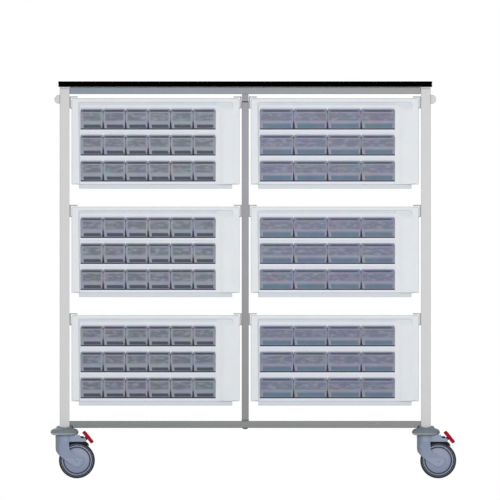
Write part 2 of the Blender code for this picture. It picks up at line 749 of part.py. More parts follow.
def tyre_mesh():
    half = WHEEL_WIDTH / 2
    inner = WHEEL_RADIUS - TYRE_THICKNESS
    profile = [
        (inner, half - HUB_INSET),
        (WHEEL_RADIUS - TYRE_SHOULDER, half),
        (WHEEL_RADIUS, half - TYRE_SHOULDER),
        (WHEEL_RADIUS, TYRE_SHOULDER - half),
        (WHEEL_RADIUS - TYRE_SHOULDER, -half),
        (inner, HUB_INSET - half),
    ]
    return rounded(moved(turned(profile, WHEEL_STEPS, closed=True), WHEEL_TURN))


def pedal_mesh():
    """The foot plate and its hinge lug, with its origin on the pedal's pin."""
    tilt = math.radians(PEDAL_TILT)
    along = (math.cos(tilt), math.sin(tilt))
    straight = (PEDAL_LENGTH - PEDAL_THICKNESS) / 2
    centre = (PEDAL_CENTRE_X, PEDAL_CENTRE_Z)
    lower = (centre[0] + along[0] * straight, centre[1] + along[1] * straight)
    upper = (centre[0] - along[0] * straight, centre[1] - along[1] * straight)
    round_end = PEDAL_THICKNESS / 2
    outline = arc(lower, round_end, PEDAL_TILT - 90, PEDAL_TILT + 90, PEDAL_END_STEPS)
    outline += arc(upper, round_end, PEDAL_TILT + 90, PEDAL_TILT + 270, PEDAL_END_STEPS)
    foot = plate([outline], PEDAL_WIDTH, "XZ")
    lug_angle = PEDAL_TILT + 90
    lug = arc((0.0, 0.0), LUG_RADIUS, lug_angle + 90, lug_angle + 270, PEDAL_END_STEPS)
    out = (-along[1], along[0])
    reach = centre[0] * out[0] + centre[1] * out[1]
    for offset in (LUG_RADIUS, -LUG_RADIUS):
        lug.append((reach * out[0] + offset * along[0], reach * out[1] + offset * along[1]))
    strap = plate([lug], LUG_WIDTH, "XZ")
    hole = cylinder((0, 0, 0), PEDAL_PIN_RADIUS + PIN_CLEARANCE, PEDAL_WIDTH, "Y", PIN_SIDES)
    strap = boolean(strap, "DIFFERENCE", hole)
    return rounded(boolean(foot, "UNION", strap))


def build_frame(trolley):
    place("worktop", worktop_mesh(), LAMINATE, trolley)
    place("top_frame", ladder_mesh(TOP_RAIL_UNDERSIDE), RAIL_METAL, trolley)
    place("bottom_frame", bottom_frame_mesh(), RAIL_METAL, trolley)
    place("centre_frame", centre_frame_mesh(), RAIL_METAL, trolley)
    post = post_mesh()
    runner = runner_mesh(SEAT_GAP)
    handle = handle_mesh()
    for side, sign in SIDES.items():
        turn = 0.0 if sign > 0 else 180.0
        handle_spot = (sign * FRAME_WIDTH / 2, 0, WORKTOP_HEIGHT - HANDLE_DROP)
        place(f"{side}_handle", handle, POST_PAINT, trolley, handle_spot, turn)
        for end, face in ENDS.items():
            place(f"{end}_{side}_post", post, POST_PAINT, trolley, (sign * POST_X, face * POST_Y, 0))
        for level in LEVELS:
            spot = (sign * BAY_EDGE_X, 0, level_z(level))
            place(f"{side}_{level}_runner", runner, RUNNER_METAL, trolley, spot, turn + 180.0)


def build_modules(trolley):
    casing = casing_mesh()
    for side, sign in SIDES.items():
        row_mesh = bin_row_mesh(BIN_COUNTS[side])
        for level in LEVELS:
            module = empty(f"{side}_{level}_module", (sign * BAY_X, 0, level_z(level)), trolley)
            place(f"{side}_{level}_casing", casing, CASING_PLASTIC, module)
            for row in range(BIN_ROWS):
                name = f"{side}_{level}_bin_row_{row + 1}"
                place(name, row_mesh, BIN_PLASTIC, module, (ROW_X, ROW_Y, row_z(row)))


def build_casters(trolley):
    bumper = bumper_mesh()
    housing = housing_mesh()
    hub = hub_mesh()
    tyre = tyre_mesh()
    pedal = pedal_mesh()
    for side, sign in SIDES.items():
        for end, face in ENDS.items():
            corner = f"{end}_{side}"
            swivel = empty(f"{corner}_swivel", (sign * POST_X, face * POST_Y, 0), trolley)
            axle = (CASTER_TRAIL, 0, AXLE_Z)
            place(f"{corner}_bumper", bumper, BUMPER_RUBBER, swivel)
            place(f"{corner}_caster_housing", housing, CASTER_PLASTIC, swivel)
            place(f"{corner}_wheel_hub", hub, CASTER_PLASTIC, swivel, axle)
            place(f"{corner}_tyre", tyre, TYRE_RUBBER, swivel, axle)
            pivot = (PEDAL_PIVOT_X, 0, HOUSING_TOP - PEDAL_PIVOT_DROP)
            place(f"{corner}_brake_pedal", pedal, PEDAL_RED, swivel, pivot)


TROLLEY = empty("trolley", (CENTRE_X, 0, 0))
build_frame(TROLLEY)
build_modules(TROLLEY)
build_casters(TROLLEY)
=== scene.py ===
"""The looks of a medical storage trolley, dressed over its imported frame.
Metres, +Z up, front towards -Y."""

import json
import math

import bmesh
import bpy
from mathutils import Matrix, Vector


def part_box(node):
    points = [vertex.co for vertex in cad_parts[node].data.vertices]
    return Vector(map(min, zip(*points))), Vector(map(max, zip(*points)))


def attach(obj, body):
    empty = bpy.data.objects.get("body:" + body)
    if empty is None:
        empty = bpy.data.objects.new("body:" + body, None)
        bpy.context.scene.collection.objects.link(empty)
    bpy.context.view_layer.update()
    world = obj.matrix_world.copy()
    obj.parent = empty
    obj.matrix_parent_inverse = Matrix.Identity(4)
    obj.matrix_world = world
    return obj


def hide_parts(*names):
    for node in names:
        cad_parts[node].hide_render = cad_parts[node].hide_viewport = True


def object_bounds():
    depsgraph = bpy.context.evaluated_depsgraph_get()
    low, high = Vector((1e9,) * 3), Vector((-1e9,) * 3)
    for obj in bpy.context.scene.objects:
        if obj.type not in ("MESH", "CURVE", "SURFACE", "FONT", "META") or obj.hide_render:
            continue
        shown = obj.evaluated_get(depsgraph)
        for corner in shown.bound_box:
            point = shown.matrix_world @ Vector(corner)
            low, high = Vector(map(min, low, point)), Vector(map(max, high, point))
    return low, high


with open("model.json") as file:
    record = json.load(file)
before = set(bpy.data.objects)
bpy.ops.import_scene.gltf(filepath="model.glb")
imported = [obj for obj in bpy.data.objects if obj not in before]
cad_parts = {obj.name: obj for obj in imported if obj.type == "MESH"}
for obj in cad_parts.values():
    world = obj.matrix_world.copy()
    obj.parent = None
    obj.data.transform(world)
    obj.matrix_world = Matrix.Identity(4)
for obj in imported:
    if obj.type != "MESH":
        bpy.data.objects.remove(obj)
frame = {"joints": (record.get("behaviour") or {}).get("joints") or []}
CAD_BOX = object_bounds()

SIDES = {"left": -1, "right": 1}
ENDS = {"front": -1, "rear": 1}
CORNERS = [f"{end}_{side}" for side in SIDES for end in ENDS]
LEVELS = ("upper", "middle", "lower")
BIN_COUNTS = {"left": 6, "right": 4}
BIN_ROWS = 3
JOINT_SPOTS = {joint["name"]: Vector(joint.get("pos_m", (0, 0, 0))) for joint in frame["joints"]}

# Places that the frame gives
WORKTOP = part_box("worktop")
TOP_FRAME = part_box("top_frame")
CENTRE_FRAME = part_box("centre_frame")
CASING_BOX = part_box("left_upper_casing")
BASE_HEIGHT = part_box("bottom_frame")[0].z
CENTRE_X = (WORKTOP[0].x + WORKTOP[1].x) / 2
RAIL_SIDE = TOP_FRAME[1].z - TOP_FRAME[0].z
CASING_DEPTH = CASING_BOX[1].y - CASING_BOX[0].y
FLANGE_HALF = (CASING_BOX[1].x - CASING_BOX[0].x) / 2

# Frame
WORKTOP_EDGE = 0.002
WORKTOP_RIM = 0.0022
WORKTOP_RIM_WIDTH = 0.005
WORKTOP_SEAM = 0.0008
FLAT_ENOUGH = 0.9
POST_CORNER = 0.0035
POST_EDGE = 0.0005
POST_CAP = 0.0055
CAP_SEAM = 0.0007
CAP_INSET = 0.0006
CAP_EDGE = 0.0008
PLUG_LOW = 0.004
PLUG_HIGH = 0.002
PLUG_EDGE = 0.0005
RAIL_CORNER = 0.002
RAIL_STEPS = 3
BAR_STEP = 0.0004
NOTCH_RADIUS = 0.032
NOTCH_DEPTH = 0.008
CENTRE_POST_SIDE = 0.025
SPIGOT_LENGTH = 0.0253
SPIGOT_STEP = 0.001
CENTRE_POST_CORNER = 0.0012
JOINT_RING = 0.0035
JOINT_EDGE = 0.0004
WELD_HEIGHT = 0.0045
WELD_REACH = 0.0008
WELD_EDGE = 0.0018
BOLT_RADIUS = 0.0095
BOLT_HEIGHT = 0.0045
BOLT_STEPS = 24
SEAT_GAP = 0.0003
RUNNER_WEB = 0.0055
RUNNER_LIP = 0.003
RUNNER_TOP_LIP = 0.0040
RUNNER_HEIGHT = 0.043
RUNNER_RISE = 0.0065
RUNNER_TOP_REACH = 0.029
RUNNER_LOW_REACH = 0.0275
RUNNER_EDGE = 0.0006
CUTBACK_LENGTH = 0.013
CUTBACK_START = 0.001
CUTBACK_EDGE = 0.0004
HANDLE_RADIUS = 0.014
HANDLE_OFFSET = 0.0025
HANDLE_LAP = 0.004
BOSS_RADIUS = 0.0165
BOSS_EDGE = 0.003
BOSS_LAP = 0.003
BOSS_ARC = (-90.0, 90.0, 24)
BOSS_CUT_EDGE = 0.0002
COLLAR_HALF = 0.004
COLLAR_BACK = 0.008
COLLAR_PROUD = 0.0012
COLLAR_SUNK = 0.001
COLLAR_CHAMFER = 0.0006
COLLAR_FLAT = 0.7

# Casings, measured from the middle of the bay, the flange's front and the flange's top
FLANGE_DEPTH = 0.008
FLANGE_FOOT = -0.308
FLANGE_TOP_BORDER = 0.014
FLANGE_INNER = 0.2755
FLANGE_EDGE = 0.0028
FLANGE_CORNER = 0.007
FLANGE_INNER_CORNER = 0.008
FLANGE_FOOT_CORNER = 0.004
FLANGE_TOE_CORNER = 0.0015
HANGER_LOW = -0.0332
HANGER_HIGH = -0.0292
HANGER_EDGE = 0.001
CASING_HALF = 0.2775
CASING_FOOT = -0.323
CASING_CEILING = -0.006
CASING_TAPER = 0.004
CASING_WALL = 0.003
CASING_CORNER = 0.010
CASING_ROUNDING = 0.003
SHELL_LAP = 0.0005
SHELL_MOUTH = 0.010
PANEL_BACK = 0.005
PANEL_DEPTH = 0.003
PANEL_EDGE = 0.0004
PANEL_TOP_GAP = 0.002
PANEL_FOOT_GAP = 0.001
CARRIER_PROUD = 0.0012
CARRIER_SUNK = 0.0004
CARRIER_SEAM = 0.0002
CARRIER_EDGE = 0.0003
CARRIER_CORNER = 0.0035
CARRIER_LEFT = -0.2712
CARRIER_RIGHT_BORDER = 0.016
CLIP_WIDTH = 0.0050
CLIP_HEIGHT = 0.0042
CLIP_GAP = 0.0002
CLIP_PROUD = 0.0008
CLIP_ROUNDING = 0.0010
STRIP_HEIGHT = 0.0095
COVER_START = 0.004
COVER_SLOPE = 0.030
COVER_TOP_LOW = -0.046
COVER_TOP_GAP = 0.0005
COVER_LAP = 0.003
COVER_PROUD = 0.0002
COVER_SUNK = 0.0005
COVER_LOW_STEPS = 6
COVER_TOP_STEPS = 14
COVER_STEPS_ACROSS = 16
LOWER_LIP_TOP = -0.3078
LOWER_LIP_GAP = 0.0012
LOWER_LIP_PROUD = 0.0016
LOWER_LIP_DEPTH = 0.006
LOWER_LIP_ROUNDING = 0.0016
LOWER_LIP_STEPS = 3
RIB_PROUD = 0.002
RIB_WIDTH = 0.004
RIB_SUNK = 0.001
SIDE_RIBS = 5
SIDE_RIB_START = 0.7
SIDE_RIB_SPACES = SIDE_RIBS + 0.4
SIDE_RIB_FOOT_GAP = 0.014
SIDE_RIB_TOP_GAP = 0.012
SIDE_RIB_SLOPE = 0.004
SIDE_RIB_EDGE = 0.0005
BACK_RIBS = 6
BACK_RIB_LAP = 0.005
BACK_RIB_STEP = 0.0004
BACK_EDGE = 0.0006
BACK_FRAME_INSET = 0.020
BACK_FRAME_SIDE_INSET = 0.024
BACK_FRAME_WIDTH = 0.010
BACK_FRAME_CORNER = 0.012
BACK_FRAME_INNER_CORNER = 0.008
CHEEK_DEPTH = 0.030
CHEEK_GAP = 0.0015
CHEEK_END_GAP = 0.002
CHEEK_EDGE = 0.0006

# Bins, measured from the pivot of their row
ROW_X = -0.027
ROW_WIDTH = 0.482
ROW_TOP = -0.038
ROW_STEP = 0.0928
WINDOW_GAP = 0.0004
WINDOW_CORNER = 0.001
WINDOW_STEPS = 3
LINTEL_LOW = 0.060
SILL = -0.0067
BIN_HEIGHT = 0.073
BIN_GAP = 0.0005
BIN_WALL = 0.002
BIN_LOW = -0.006
BIN_FRONT = -0.006
BIN_FRONT_LAYER = 0.0035
BIN_LEAN = 0.004
BIN_CHAMFER = 0.003
BIN_FLOOR_BACK = 0.058
BIN_TOP_BACK = 0.076
BIN_BACK_CORNER = 0.0015
BIN_SIDE_RIM = 0.062
BIN_BACK_RIM = 0.040
BIN_CORNER = 0.003
BIN_ROUNDING = 0.0016
BIN_ROUNDING_DEPTH = 0.0008
BIN_SHARP_ANGLE = 40.0
FOOT_PINCH_LEFT = 0.0048
FOOT_PINCH_RIGHT = 0.0032
FOOT_PINCH_HEIGHT = 0.027
TOP_PINCH = 0.0013
TOP_PINCH_LOW = 0.050
LIP_LOW = 0.0626
LIP_HIGH = 0.0696
LIP_STEP = 0.0008
LIP_PROUD = 0.0012
BAND_LOW = 0.0052
BAND_HIGH = {"left": 0.0180, "right": 0.0228}
BAND_STEP = 0.0003
BAND_INSET_LEFT = 0.0112
BAND_INSET_RIGHT = 0.0072
BAND_DEPTH = 0.0008
FOOT_HEIGHT = 0.0036
GAP_RIB_FRONT = -0.0035
GAP_RIB_BACK = -0.0010
GAP_RIB_TOP = 0.069
GAP_RIB_CLEARANCE = 0.0001
PIN_RADIUS = 0.0018
PIN_START = 0.239
PIN_END = 0.2455
PIN_STEPS = 16

# Places of the points on a bin's wall and on the rib beside it, besides those at its details
BIN_SIDE_STEPS = (0.0, 0.0004, 0.001, BIN_ROUNDING, BIN_CORNER)
BIN_DEPTH_SHARES = (0.03, 0.07, 0.3, 0.55, 0.8, 0.97)
BIN_RIM_TURN = 0.05
BIN_PLAIN_HEIGHTS = (0.0, 0.0012, 0.011, 0.016, 0.0235, 0.0252, 0.0265, 0.038, 0.057, 0.066, 0.0712, 0.0724)
BIN_INNER_LEVELS = (1.0, 0.97, 0.6, 0.25)
GAP_RIB_LOW_HEIGHTS = (0.0005, 0.006, 0.012, 0.018, 0.023, 0.0262, FOOT_PINCH_HEIGHT)
GAP_RIB_HEIGHTS = (*GAP_RIB_LOW_HEIGHTS, TOP_PINCH_LOW, 0.057, GAP_RIB_TOP)

# Casters, measured from the swivel axis on the floor
BUMPER_RADIUS = 0.050
BUMPER_FOOT = 0.1537
BUMPER_SEAT = 0.1797
BUMPER_WAIST = 0.1645
BUMPER_BAND = 0.0075
BUMPER_STEPS = 64
COLLAR_RADIUS = 0.030
COLLAR_WALL = 0.0046
COLLAR_RISE = 0.0085
COLLAR_DIP = 0.15
COLLAR_SQUARE = 0.0180
NECK_RADIUS = 0.0325
NECK_FOOT = 0.100
NECK_STEP = 0.0005
NECK_STEPS = 12
NECK_LAP = 0.001
NECK_JOINT_INSET = 0.0012
NECK_JOINT_HEIGHT = 0.0035
BEAD_DROP = 0.0048
BEAD_REACH = 0.0012
BEAD_RISE = 0.0014
BEAD_TURN = 30
HOUSING_TOP = 0.1534
HOUSING_HALF = 0.025
HOUSING_EDGE = 0.0005
HOUSING_VOXEL = 0.0011
HOUSING_RELAX = 0.5
HOUSING_RELAX_ROUNDS = 6
HOUSING_KEPT = 0.35
HOUSING_SHARP_ANGLE = 60.0
BEYOND_HOUSING = 0.090
BEYOND_LEGS = 0.1
BEYOND_TOP = 0.2
LEG_HALF = 0.0195
LEG_RIGHT = 0.0160
LEG_THIN = 0.072
LEG_FULL = 0.108
LEG_FOOT_RADIUS = 0.0245
LEG_FOOT_ARC = (232.0, 372.0, 10)
ARM_UNDERSIDE = 0.1304
WHEEL_SLOT_RADIUS = 0.068
WHEEL_SLOT_HALF = 0.0175
WHEEL_SLOT_STEPS = 64
LUG_SLOT = ((0.061, -0.0088, 0.110), (BEYOND_HOUSING, 0.0088, 0.170))
BESIDE_WHEEL = ((-0.05, -0.05, 0.05), (LEG_RIGHT, 0.05, 0.15))
WHEEL_HALF = 0.016
TYRE_INNER = 0.0530
TYRE_STEPS = 96
GROOVE_INNER = 0.0458
GROOVE_OUTER = 0.0488
GROOVE_FLOOR = 0.0105
GROOVE_PAINT = 0.0005
TYRE_BAND_INNER = 0.0556
TYRE_BAND_OUTER = 0.0590
SHOE_RADIUS = 0.0655
SHOE_HALF = 0.0155
SHOE_LAP = 0.0004
SHOE_ARC = (120.0, 50.0, 14)
SHOE_HINGE = ((0.0550, -0.0120, 0.1425), (0.0690, 0.0120, 0.1508))
SHOE_HINGE_EDGE = 0.0012
SKIRT_RADIUS = 0.0616
SKIRT_HALF = 0.0167
SKIRT_ARC = (118.0, 52.0, 14)
AXLE_CAP_RADIUS = 0.0075
AXLE_CAP_SUNK = 0.0006
AXLE_CAP_STEPS = 32
PEDAL_TILT = math.radians(-51.0)
PEDAL_LENGTH = 0.052
PEDAL_THICKNESS = 0.0132
PEDAL_HALF = 0.020
PEDAL_MIDDLE = (0.0128, 0.0088)
PEDAL_CORNERS = (0.002, 0.0055, 0.0040, 0.001)
PEDAL_EDGE = 0.0009
PEDAL_END = 0.0055
PEDAL_END_LAP = 0.002
PEDAL_END_STEP = 0.0008
PEDAL_END_INSET = 0.001
PEDAL_END_CORNER = 0.0024
PEDAL_RIBS = 6
PEDAL_RIB_START = 0.003
PEDAL_RIB_PITCH = 0.0042
PEDAL_RIB_WIDTH = 0.0018
PEDAL_RIB_SUNK = 0.001
PEDAL_RIB_PROUD = 0.0009
PEDAL_RIB_INSET = 0.003
PEDAL_RIB_EDGE = 0.0003
LUG_RADIUS = 0.0065
LUG_HALF = 0.008
LUG_EDGE = 0.0008
LUG_ARC = (129.0, 309.0, 8)

# Meshing
ROUND_STEPS = 48
SHARP_ANGLE = 32.0
SAME_PLACE = 1e-6
CORNER_SHARE = 0.48

# Camera at the photograph's angle, in the 500 x 500 picture
CAMERA_DISTANCE = 4.0
CAMERA_X = CENTRE_X + 0.017
CAMERA_Z = 0.8153
PICTURE_WIDTH = 1.785


def srgb(red, green, blue):
    """A colour given in steps of 0 to 255, as linear light."""
    shares = (red / 255, green / 255, blue / 255)
    return tuple(s / 12.92 if s <= 0.04045 else ((s + 0.055) / 1.055) ** 2.4 for s in shares)


def opaque(colour):
    return (*colour, 1.0)


# Shared surface effects

COLOUR = "NodeSocketColor"
NUMBER = "NodeSocketFloat"
VECTOR = "NodeSocketVector"
WHITE = (1.0, 1.0, 1.0, 1.0)
MID_GREY = (0.5, 0.5, 0.5, 1.0)
CREVICE_DARK = (0.16, 0.17, 0.19, 1.0)
CREVICE_SAMPLES = 8
FINE_DRIFT = 14.0
EVEN_DETAIL = 1.0
SOME_DETAIL = 2.0
RICH_DETAIL = 3.0
ROUGHNESS_SWING = 1.5
GRAIN_DISTANCE = 0.001
PIECE_SHIFT = 50.0
FLECK_BLUR = 0.06
STREAK_SCALE = 38.0
STREAK_STRETCH = (1.0, 1.0, 3.0)
FAINT_STREAKS = (0.0, 0.4)
FULL_FROM_BELOW = (-2.0, -1.0)
FULL_TO_TOP = (3.0, 2.0)


def new_group(name, inputs, outputs):
    """An empty node group with inputs, as (name, kind, value), and outputs, as (name, kind)."""
    group = bpy.data.node_groups.new(name, "ShaderNodeTree")
    for label, kind, value in inputs:
        socket = group.interface.new_socket(name=label, in_out="INPUT", socket_type=kind)
        socket.default_value = value
    for label, kind in outputs:
        group.interface.new_socket(name=label, in_out="OUTPUT", socket_type=kind)
    given = group.nodes.new("NodeGroupInput").outputs
    return group, given, group.nodes.new("NodeGroupOutput").inputs


def feed(tree, socket, source):
    """Link a socket to another one, or set its fixed value."""
    if isinstance(source, bpy.types.NodeSocket):
        tree.links.new(source, socket)
    else:
        socket.default_value = source


def node(tree, kind, inputs=None, **settings):
    """The outputs of a new node with its settings, and with a socket or a value for each input named."""
    made = tree.nodes.new(kind)
    for key, value in settings.items():
        setattr(made, key, value)
    for key, source in (inputs or {}).items():
        feed(tree, made.inputs[key], source)
    return made.outputs


def effect(tree, group, inputs):
    return node(tree, "ShaderNodeGroup", inputs, node_tree=group)


def maths(tree, operation, *terms):
    return node(tree, "ShaderNodeMath", dict(enumerate(terms)), operation=operation)[0]


def vector_maths(tree, operation, *terms):
    return node(tree, "ShaderNodeVectorMath", dict(enumerate(terms)), operation=operation)[0]


def colour_mix(tree, factor, first, second, mode="MIX"):
    mixed = node(tree, "ShaderNodeMix", {0: factor, 6: first, 7: second}, data_type="RGBA", blend_type=mode)
    return mixed[2]


def noise(tree, place, scale, detail):
    return node(tree, "ShaderNodeTexNoise", {"Vector": place, "Scale": scale, "Detail": detail})


def ramp(tree, value, start, stop, curve="LINEAR"):
    """A share that runs from 0 at the start to 1 at the stop."""
    spread = {"Value": value, "From Min": start, "From Max": stop}
    return node(tree, "ShaderNodeMapRange", spread, interpolation_type=curve)["Result"]


def object_place(tree):
    return node(tree, "ShaderNodeTexCoord")["Object"]


def own_place(tree):
    """Object coordinates, shifted by a different amount on each piece."""
    chance = node(tree, "ShaderNodeObjectInfo")["Random"]
    return vector_maths(tree, "ADD", object_place(tree), maths(tree, "MULTIPLY", chance, PIECE_SHIFT))


def surface_drift_group():
    """Slow and fine changes of a colour over a surface, with a roughness that follows them."""
    inputs = (
        ("Colour", COLOUR, MID_GREY),
        ("Scale", NUMBER, 12.0),
        ("Amount", NUMBER, 0.04),
        ("Roughness", NUMBER, 0.4),
    )
    tree, given, out = new_group("surface_drift", inputs, (("Colour", COLOUR), ("Roughness", NUMBER)))
    place = object_place(tree)
    slow = noise(tree, place, given["Scale"], RICH_DETAIL)["Fac"]
    fine_scale = maths(tree, "MULTIPLY", given["Scale"], FINE_DRIFT)
    fine = noise(tree, place, fine_scale, SOME_DETAIL)["Fac"]
    centred = maths(tree, "SUBTRACT", maths(tree, "ADD", slow, fine), 1.0)
    swing = maths(tree, "MULTIPLY", centred, given["Amount"])
    shade = maths(tree, "ADD", swing, 1.0)
    grey = node(tree, "ShaderNodeCombineColor", dict.fromkeys(("Red", "Green", "Blue"), shade))[0]
    feed(tree, out["Colour"], colour_mix(tree, 1.0, given["Colour"], grey, "MULTIPLY"))
    feed(tree, out["Roughness"], maths(tree, "MULTIPLY_ADD", swing, ROUGHNESS_SWING, given["Roughness"]))
    return tree


def crevice_group():
    """A darker colour where surfaces close in on each other."""
    inputs = (("Colour", COLOUR, MID_GREY), ("Reach", NUMBER, 0.006), ("Depth", NUMBER, 0.4))
    tree, given, out = new_group("crevice_shade", inputs, (("Colour", COLOUR),))
    reach = {"Distance": given["Reach"]}
    open_sky = node(tree, "ShaderNodeAmbientOcclusion", reach, samples=CREVICE_SAMPLES)["AO"]
    share = maths(tree, "MULTIPLY", maths(tree, "SUBTRACT", 1.0, open_sky), given["Depth"])
    dark = colour_mix(tree, 1.0, given["Colour"], CREVICE_DARK, "MULTIPLY")
    feed(tree, out["Colour"], colour_mix(tree, share, given["Colour"], dark))
    return tree


def grain_group():
    """The height of a fine grain, which Stretch draws out along an axis."""
    inputs = (("Scale", NUMBER, 600.0), ("Stretch", VECTOR, (1.0, 1.0, 1.0)))
    tree, given, out = new_group("surface_grain", inputs, (("Height", NUMBER),))
    drawn = vector_maths(tree, "MULTIPLY", object_place(tree), given["Stretch"])
    feed(tree, out["Height"], noise(tree, drawn, given["Scale"], RICH_DETAIL)["Fac"])
    return tree


def hue_drift_group():
    """A slow wander of the hue, different on each piece."""
    inputs = (("Colour", COLOUR, MID_GREY), ("Scale", NUMBER, 22.0), ("Amount", NUMBER, 0.1))
    tree, given, out = new_group("hue_drift", inputs, (("Colour", COLOUR),))
    clouds = noise(tree, own_place(tree), given["Scale"], EVEN_DETAIL)["Color"]
    feed(tree, out["Colour"], colour_mix(tree, given["Amount"], given["Colour"], clouds, "OVERLAY"))
    return tree


SURFACE_DRIFT = surface_drift_group()
CREVICE_SHADE = crevice_group()
SURFACE_GRAIN = grain_group()
HUE_DRIFT = hue_drift_group()


def new_finish(
    name,
    colour,
    roughness,
    metallic=0.0,
    drift=(12.0, 0.04),
    crevice=(0.006, 0.4),
    grain=(700.0, 0.05),
    stretch=(1.0, 1.0, 1.0),
    tint=None,
    specular=0.5,
    alpha=1.0,
    hue=0.0,
):
    """A finish: a colour, or the socket that tint makes from it, with drift, shaded crevices and grain."""
    made = bpy.data.materials.new(name)
    made.use_nodes = True
    tree = made.node_tree
    shader = tree.nodes["Principled BSDF"].inputs
    shader["Metallic"].default_value = metallic
    shader["Specular IOR Level"].default_value = specular
    shader["Alpha"].default_value = alpha
    paint = tint(tree, colour) if tint else opaque(colour)
    drifting = {"Colour": paint, "Scale": drift[0], "Amount": drift[1], "Roughness": roughness}
    drifted = effect(tree, SURFACE_DRIFT, drifting)
    paint = drifted["Colour"]
    if hue:
        paint = effect(tree, HUE_DRIFT, {"Colour": paint, "Amount": hue})["Colour"]
    paint = effect(tree, CREVICE_SHADE, {"Colour": paint, "Reach": crevice[0], "Depth": crevice[1]})["Colour"]
    height = effect(tree, SURFACE_GRAIN, {"Scale": grain[0], "Stretch": stretch})["Height"]
    relief = {"Strength": grain[1], "Distance": GRAIN_DISTANCE, "Height": height}
    feed(tree, shader["Base Color"], paint)
    feed(tree, shader["Roughness"], drifted["Roughness"])
    feed(tree, shader["Normal"], node(tree, "ShaderNodeBump", relief)["Normal"])
    return made


def along(axis, low, high, shaded_colour):
    """A tint that runs from a colour at one place on an axis to the finish's own colour at another. Each
    finish here uses it to paint shade, the first colour being the shaded end.
    """

    def tint(tree, colour):
        measure = node(tree, "ShaderNodeSeparateXYZ", {0: object_place(tree)})[axis]
        return colour_mix(tree, ramp(tree, measure, low, high), opaque(shaded_colour), opaque(colour))

    return tint


def flecked(fleck_colour, scale, threshold):
    """A tint with small flecks of another colour."""

    def tint(tree, colour):
        clouds = noise(tree, object_place(tree), scale, EVEN_DETAIL)["Fac"]
        share = ramp(tree, clouds, threshold, threshold + FLECK_BLUR)
        return colour_mix(tree, share, opaque(colour), opaque(fleck_colour))

    return tint


def front_cloud(shade_colour, sides, rise=FULL_FROM_BELOW, fall=FULL_TO_TOP, streaks=FAINT_STREAKS):
    """A tint for a bin's front: a cloud that eases in from its sides, from below and from above. On a bin's
    wall the cloud is painted shade.
    """

    def tint(tree, colour):
        sheet = node(tree, "ShaderNodeSeparateXYZ", {0: node(tree, "ShaderNodeUVMap")[0]})
        from_middle = maths(tree, "ABSOLUTE", maths(tree, "SUBTRACT", sheet["X"], 0.5))
        drawn = vector_maths(tree, "MULTIPLY", own_place(tree), STREAK_STRETCH)
        clouds = noise(tree, drawn, STREAK_SCALE, SOME_DETAIL)["Fac"]
        share = ramp(tree, clouds, *streaks, "SMOOTHSTEP")
        for measure, span in ((from_middle, sides), (sheet["Y"], rise), (sheet["Y"], fall)):
            share = maths(tree, "MULTIPLY", share, ramp(tree, measure, *span, "SMOOTHSTEP"))
        return colour_mix(tree, share, opaque(colour), opaque(shade_colour))

    return tint


CLEAR_PLASTIC = {"drift": (30.0, 0.05), "crevice": (0.004, 0.25), "grain": (260.0, 0.02), "hue": 0.16}
CLEAR_ROUGHNESS = 0.30
CLEAR_SPECULAR = 0.25
DULL_SPECULAR = 0.1
WALL_ALPHA = 0.84
BAND_ALPHA = 0.90
FOOT_ALPHA = 0.92
# Where the painted shade of a bin's inside shows on its wall
CLOUD_RISE = (0.36, 0.48)
CLOUD_FALL = (0.83, 0.77)
CLOUD_STREAKS = (0.2, 0.6)
LIP_SIDES = (0.46, 0.37)
BAND_SIDES = (0.47, 0.40)


def clear_plastic(name, colour, alpha, tint=None, specular=DULL_SPECULAR):
    """Smoked clear plastic: smooth, and partly see-through."""
    look = {**CLEAR_PLASTIC, "tint": tint, "specular": specular, "alpha": alpha}
    return new_finish(name, colour, CLEAR_ROUGHNESS, **look)


def bin_finishes(name, wall, cloud, line, lip, foot, band, cloud_sides, band_fall):
    """The finishes of a bin: its wall, its lip, its foot and the band above its foot."""
    # Painted shade: the wall's cloud is the dark inside of the bin and the casing, seen through its front
    inside_shade_cloud = front_cloud(cloud, cloud_sides, CLOUD_RISE, CLOUD_FALL, CLOUD_STREAKS)
    return (
        clear_plastic(f"{name}_wall", wall, WALL_ALPHA, inside_shade_cloud, CLEAR_SPECULAR),
        clear_plastic(f"{name}_lip", line, BAND_ALPHA, front_cloud(lip, LIP_SIDES)),
        clear_plastic(f"{name}_foot", foot, FOOT_ALPHA),
        clear_plastic(f"{name}_band", wall, BAND_ALPHA, front_cloud(band, BAND_SIDES, fall=band_fall)),
    )


# What related finishes share
DRAWN_X = (0.03, 1.0, 1.0)
DRAWN_Y = (1.0, 0.03, 1.0)
DRAWN_Z = (1.0, 1.0, 0.03)
BRUSHED = {"metallic": 0.25, "grain": (1400.0, 0.10)}
RAIL = {**BRUSHED, "drift": (5.0, 0.05), "stretch": DRAWN_X}
# The span of the rails' painted shade along X, darkest at its start
RAIL_SHADE_SPAN = ("X", -0.65, 0.55)
WHITE_MOULDING = {"drift": (9.0, 0.025), "crevice": (0.006, 0.2), "hue": 0.15}
TYRE = {"drift": (40.0, 0.12), "grain": (1200.0, 0.20), "specular": 0.2}
BUMPER = {"drift": (30.0, 0.06), "grain": (900.0, 0.12)}

# Finishes of the frame
BLACK_LAMINATE = new_finish(
    "black_laminate",
    srgb(13, 13, 14),
    0.42,
    drift=(8.0, 0.10),
    grain=(1800.0, 0.06),
    tint=flecked(srgb(24, 24, 26), 900.0, 0.66),
    specular=0.1,
)
EDGE_BAND = new_finish("laminate_edge_band", srgb(3, 3, 3), 0.60, grain=(1500.0, 0.05), specular=0.0)
POST_LACQUER = new_finish(
    "light_grey_lacquer", srgb(208, 208, 209), 0.38, drift=(7.0, 0.03), grain=(900.0, 0.06)
)
CAP_PLASTIC = new_finish("pale_cap_plastic", srgb(224, 225, 226), 0.45)
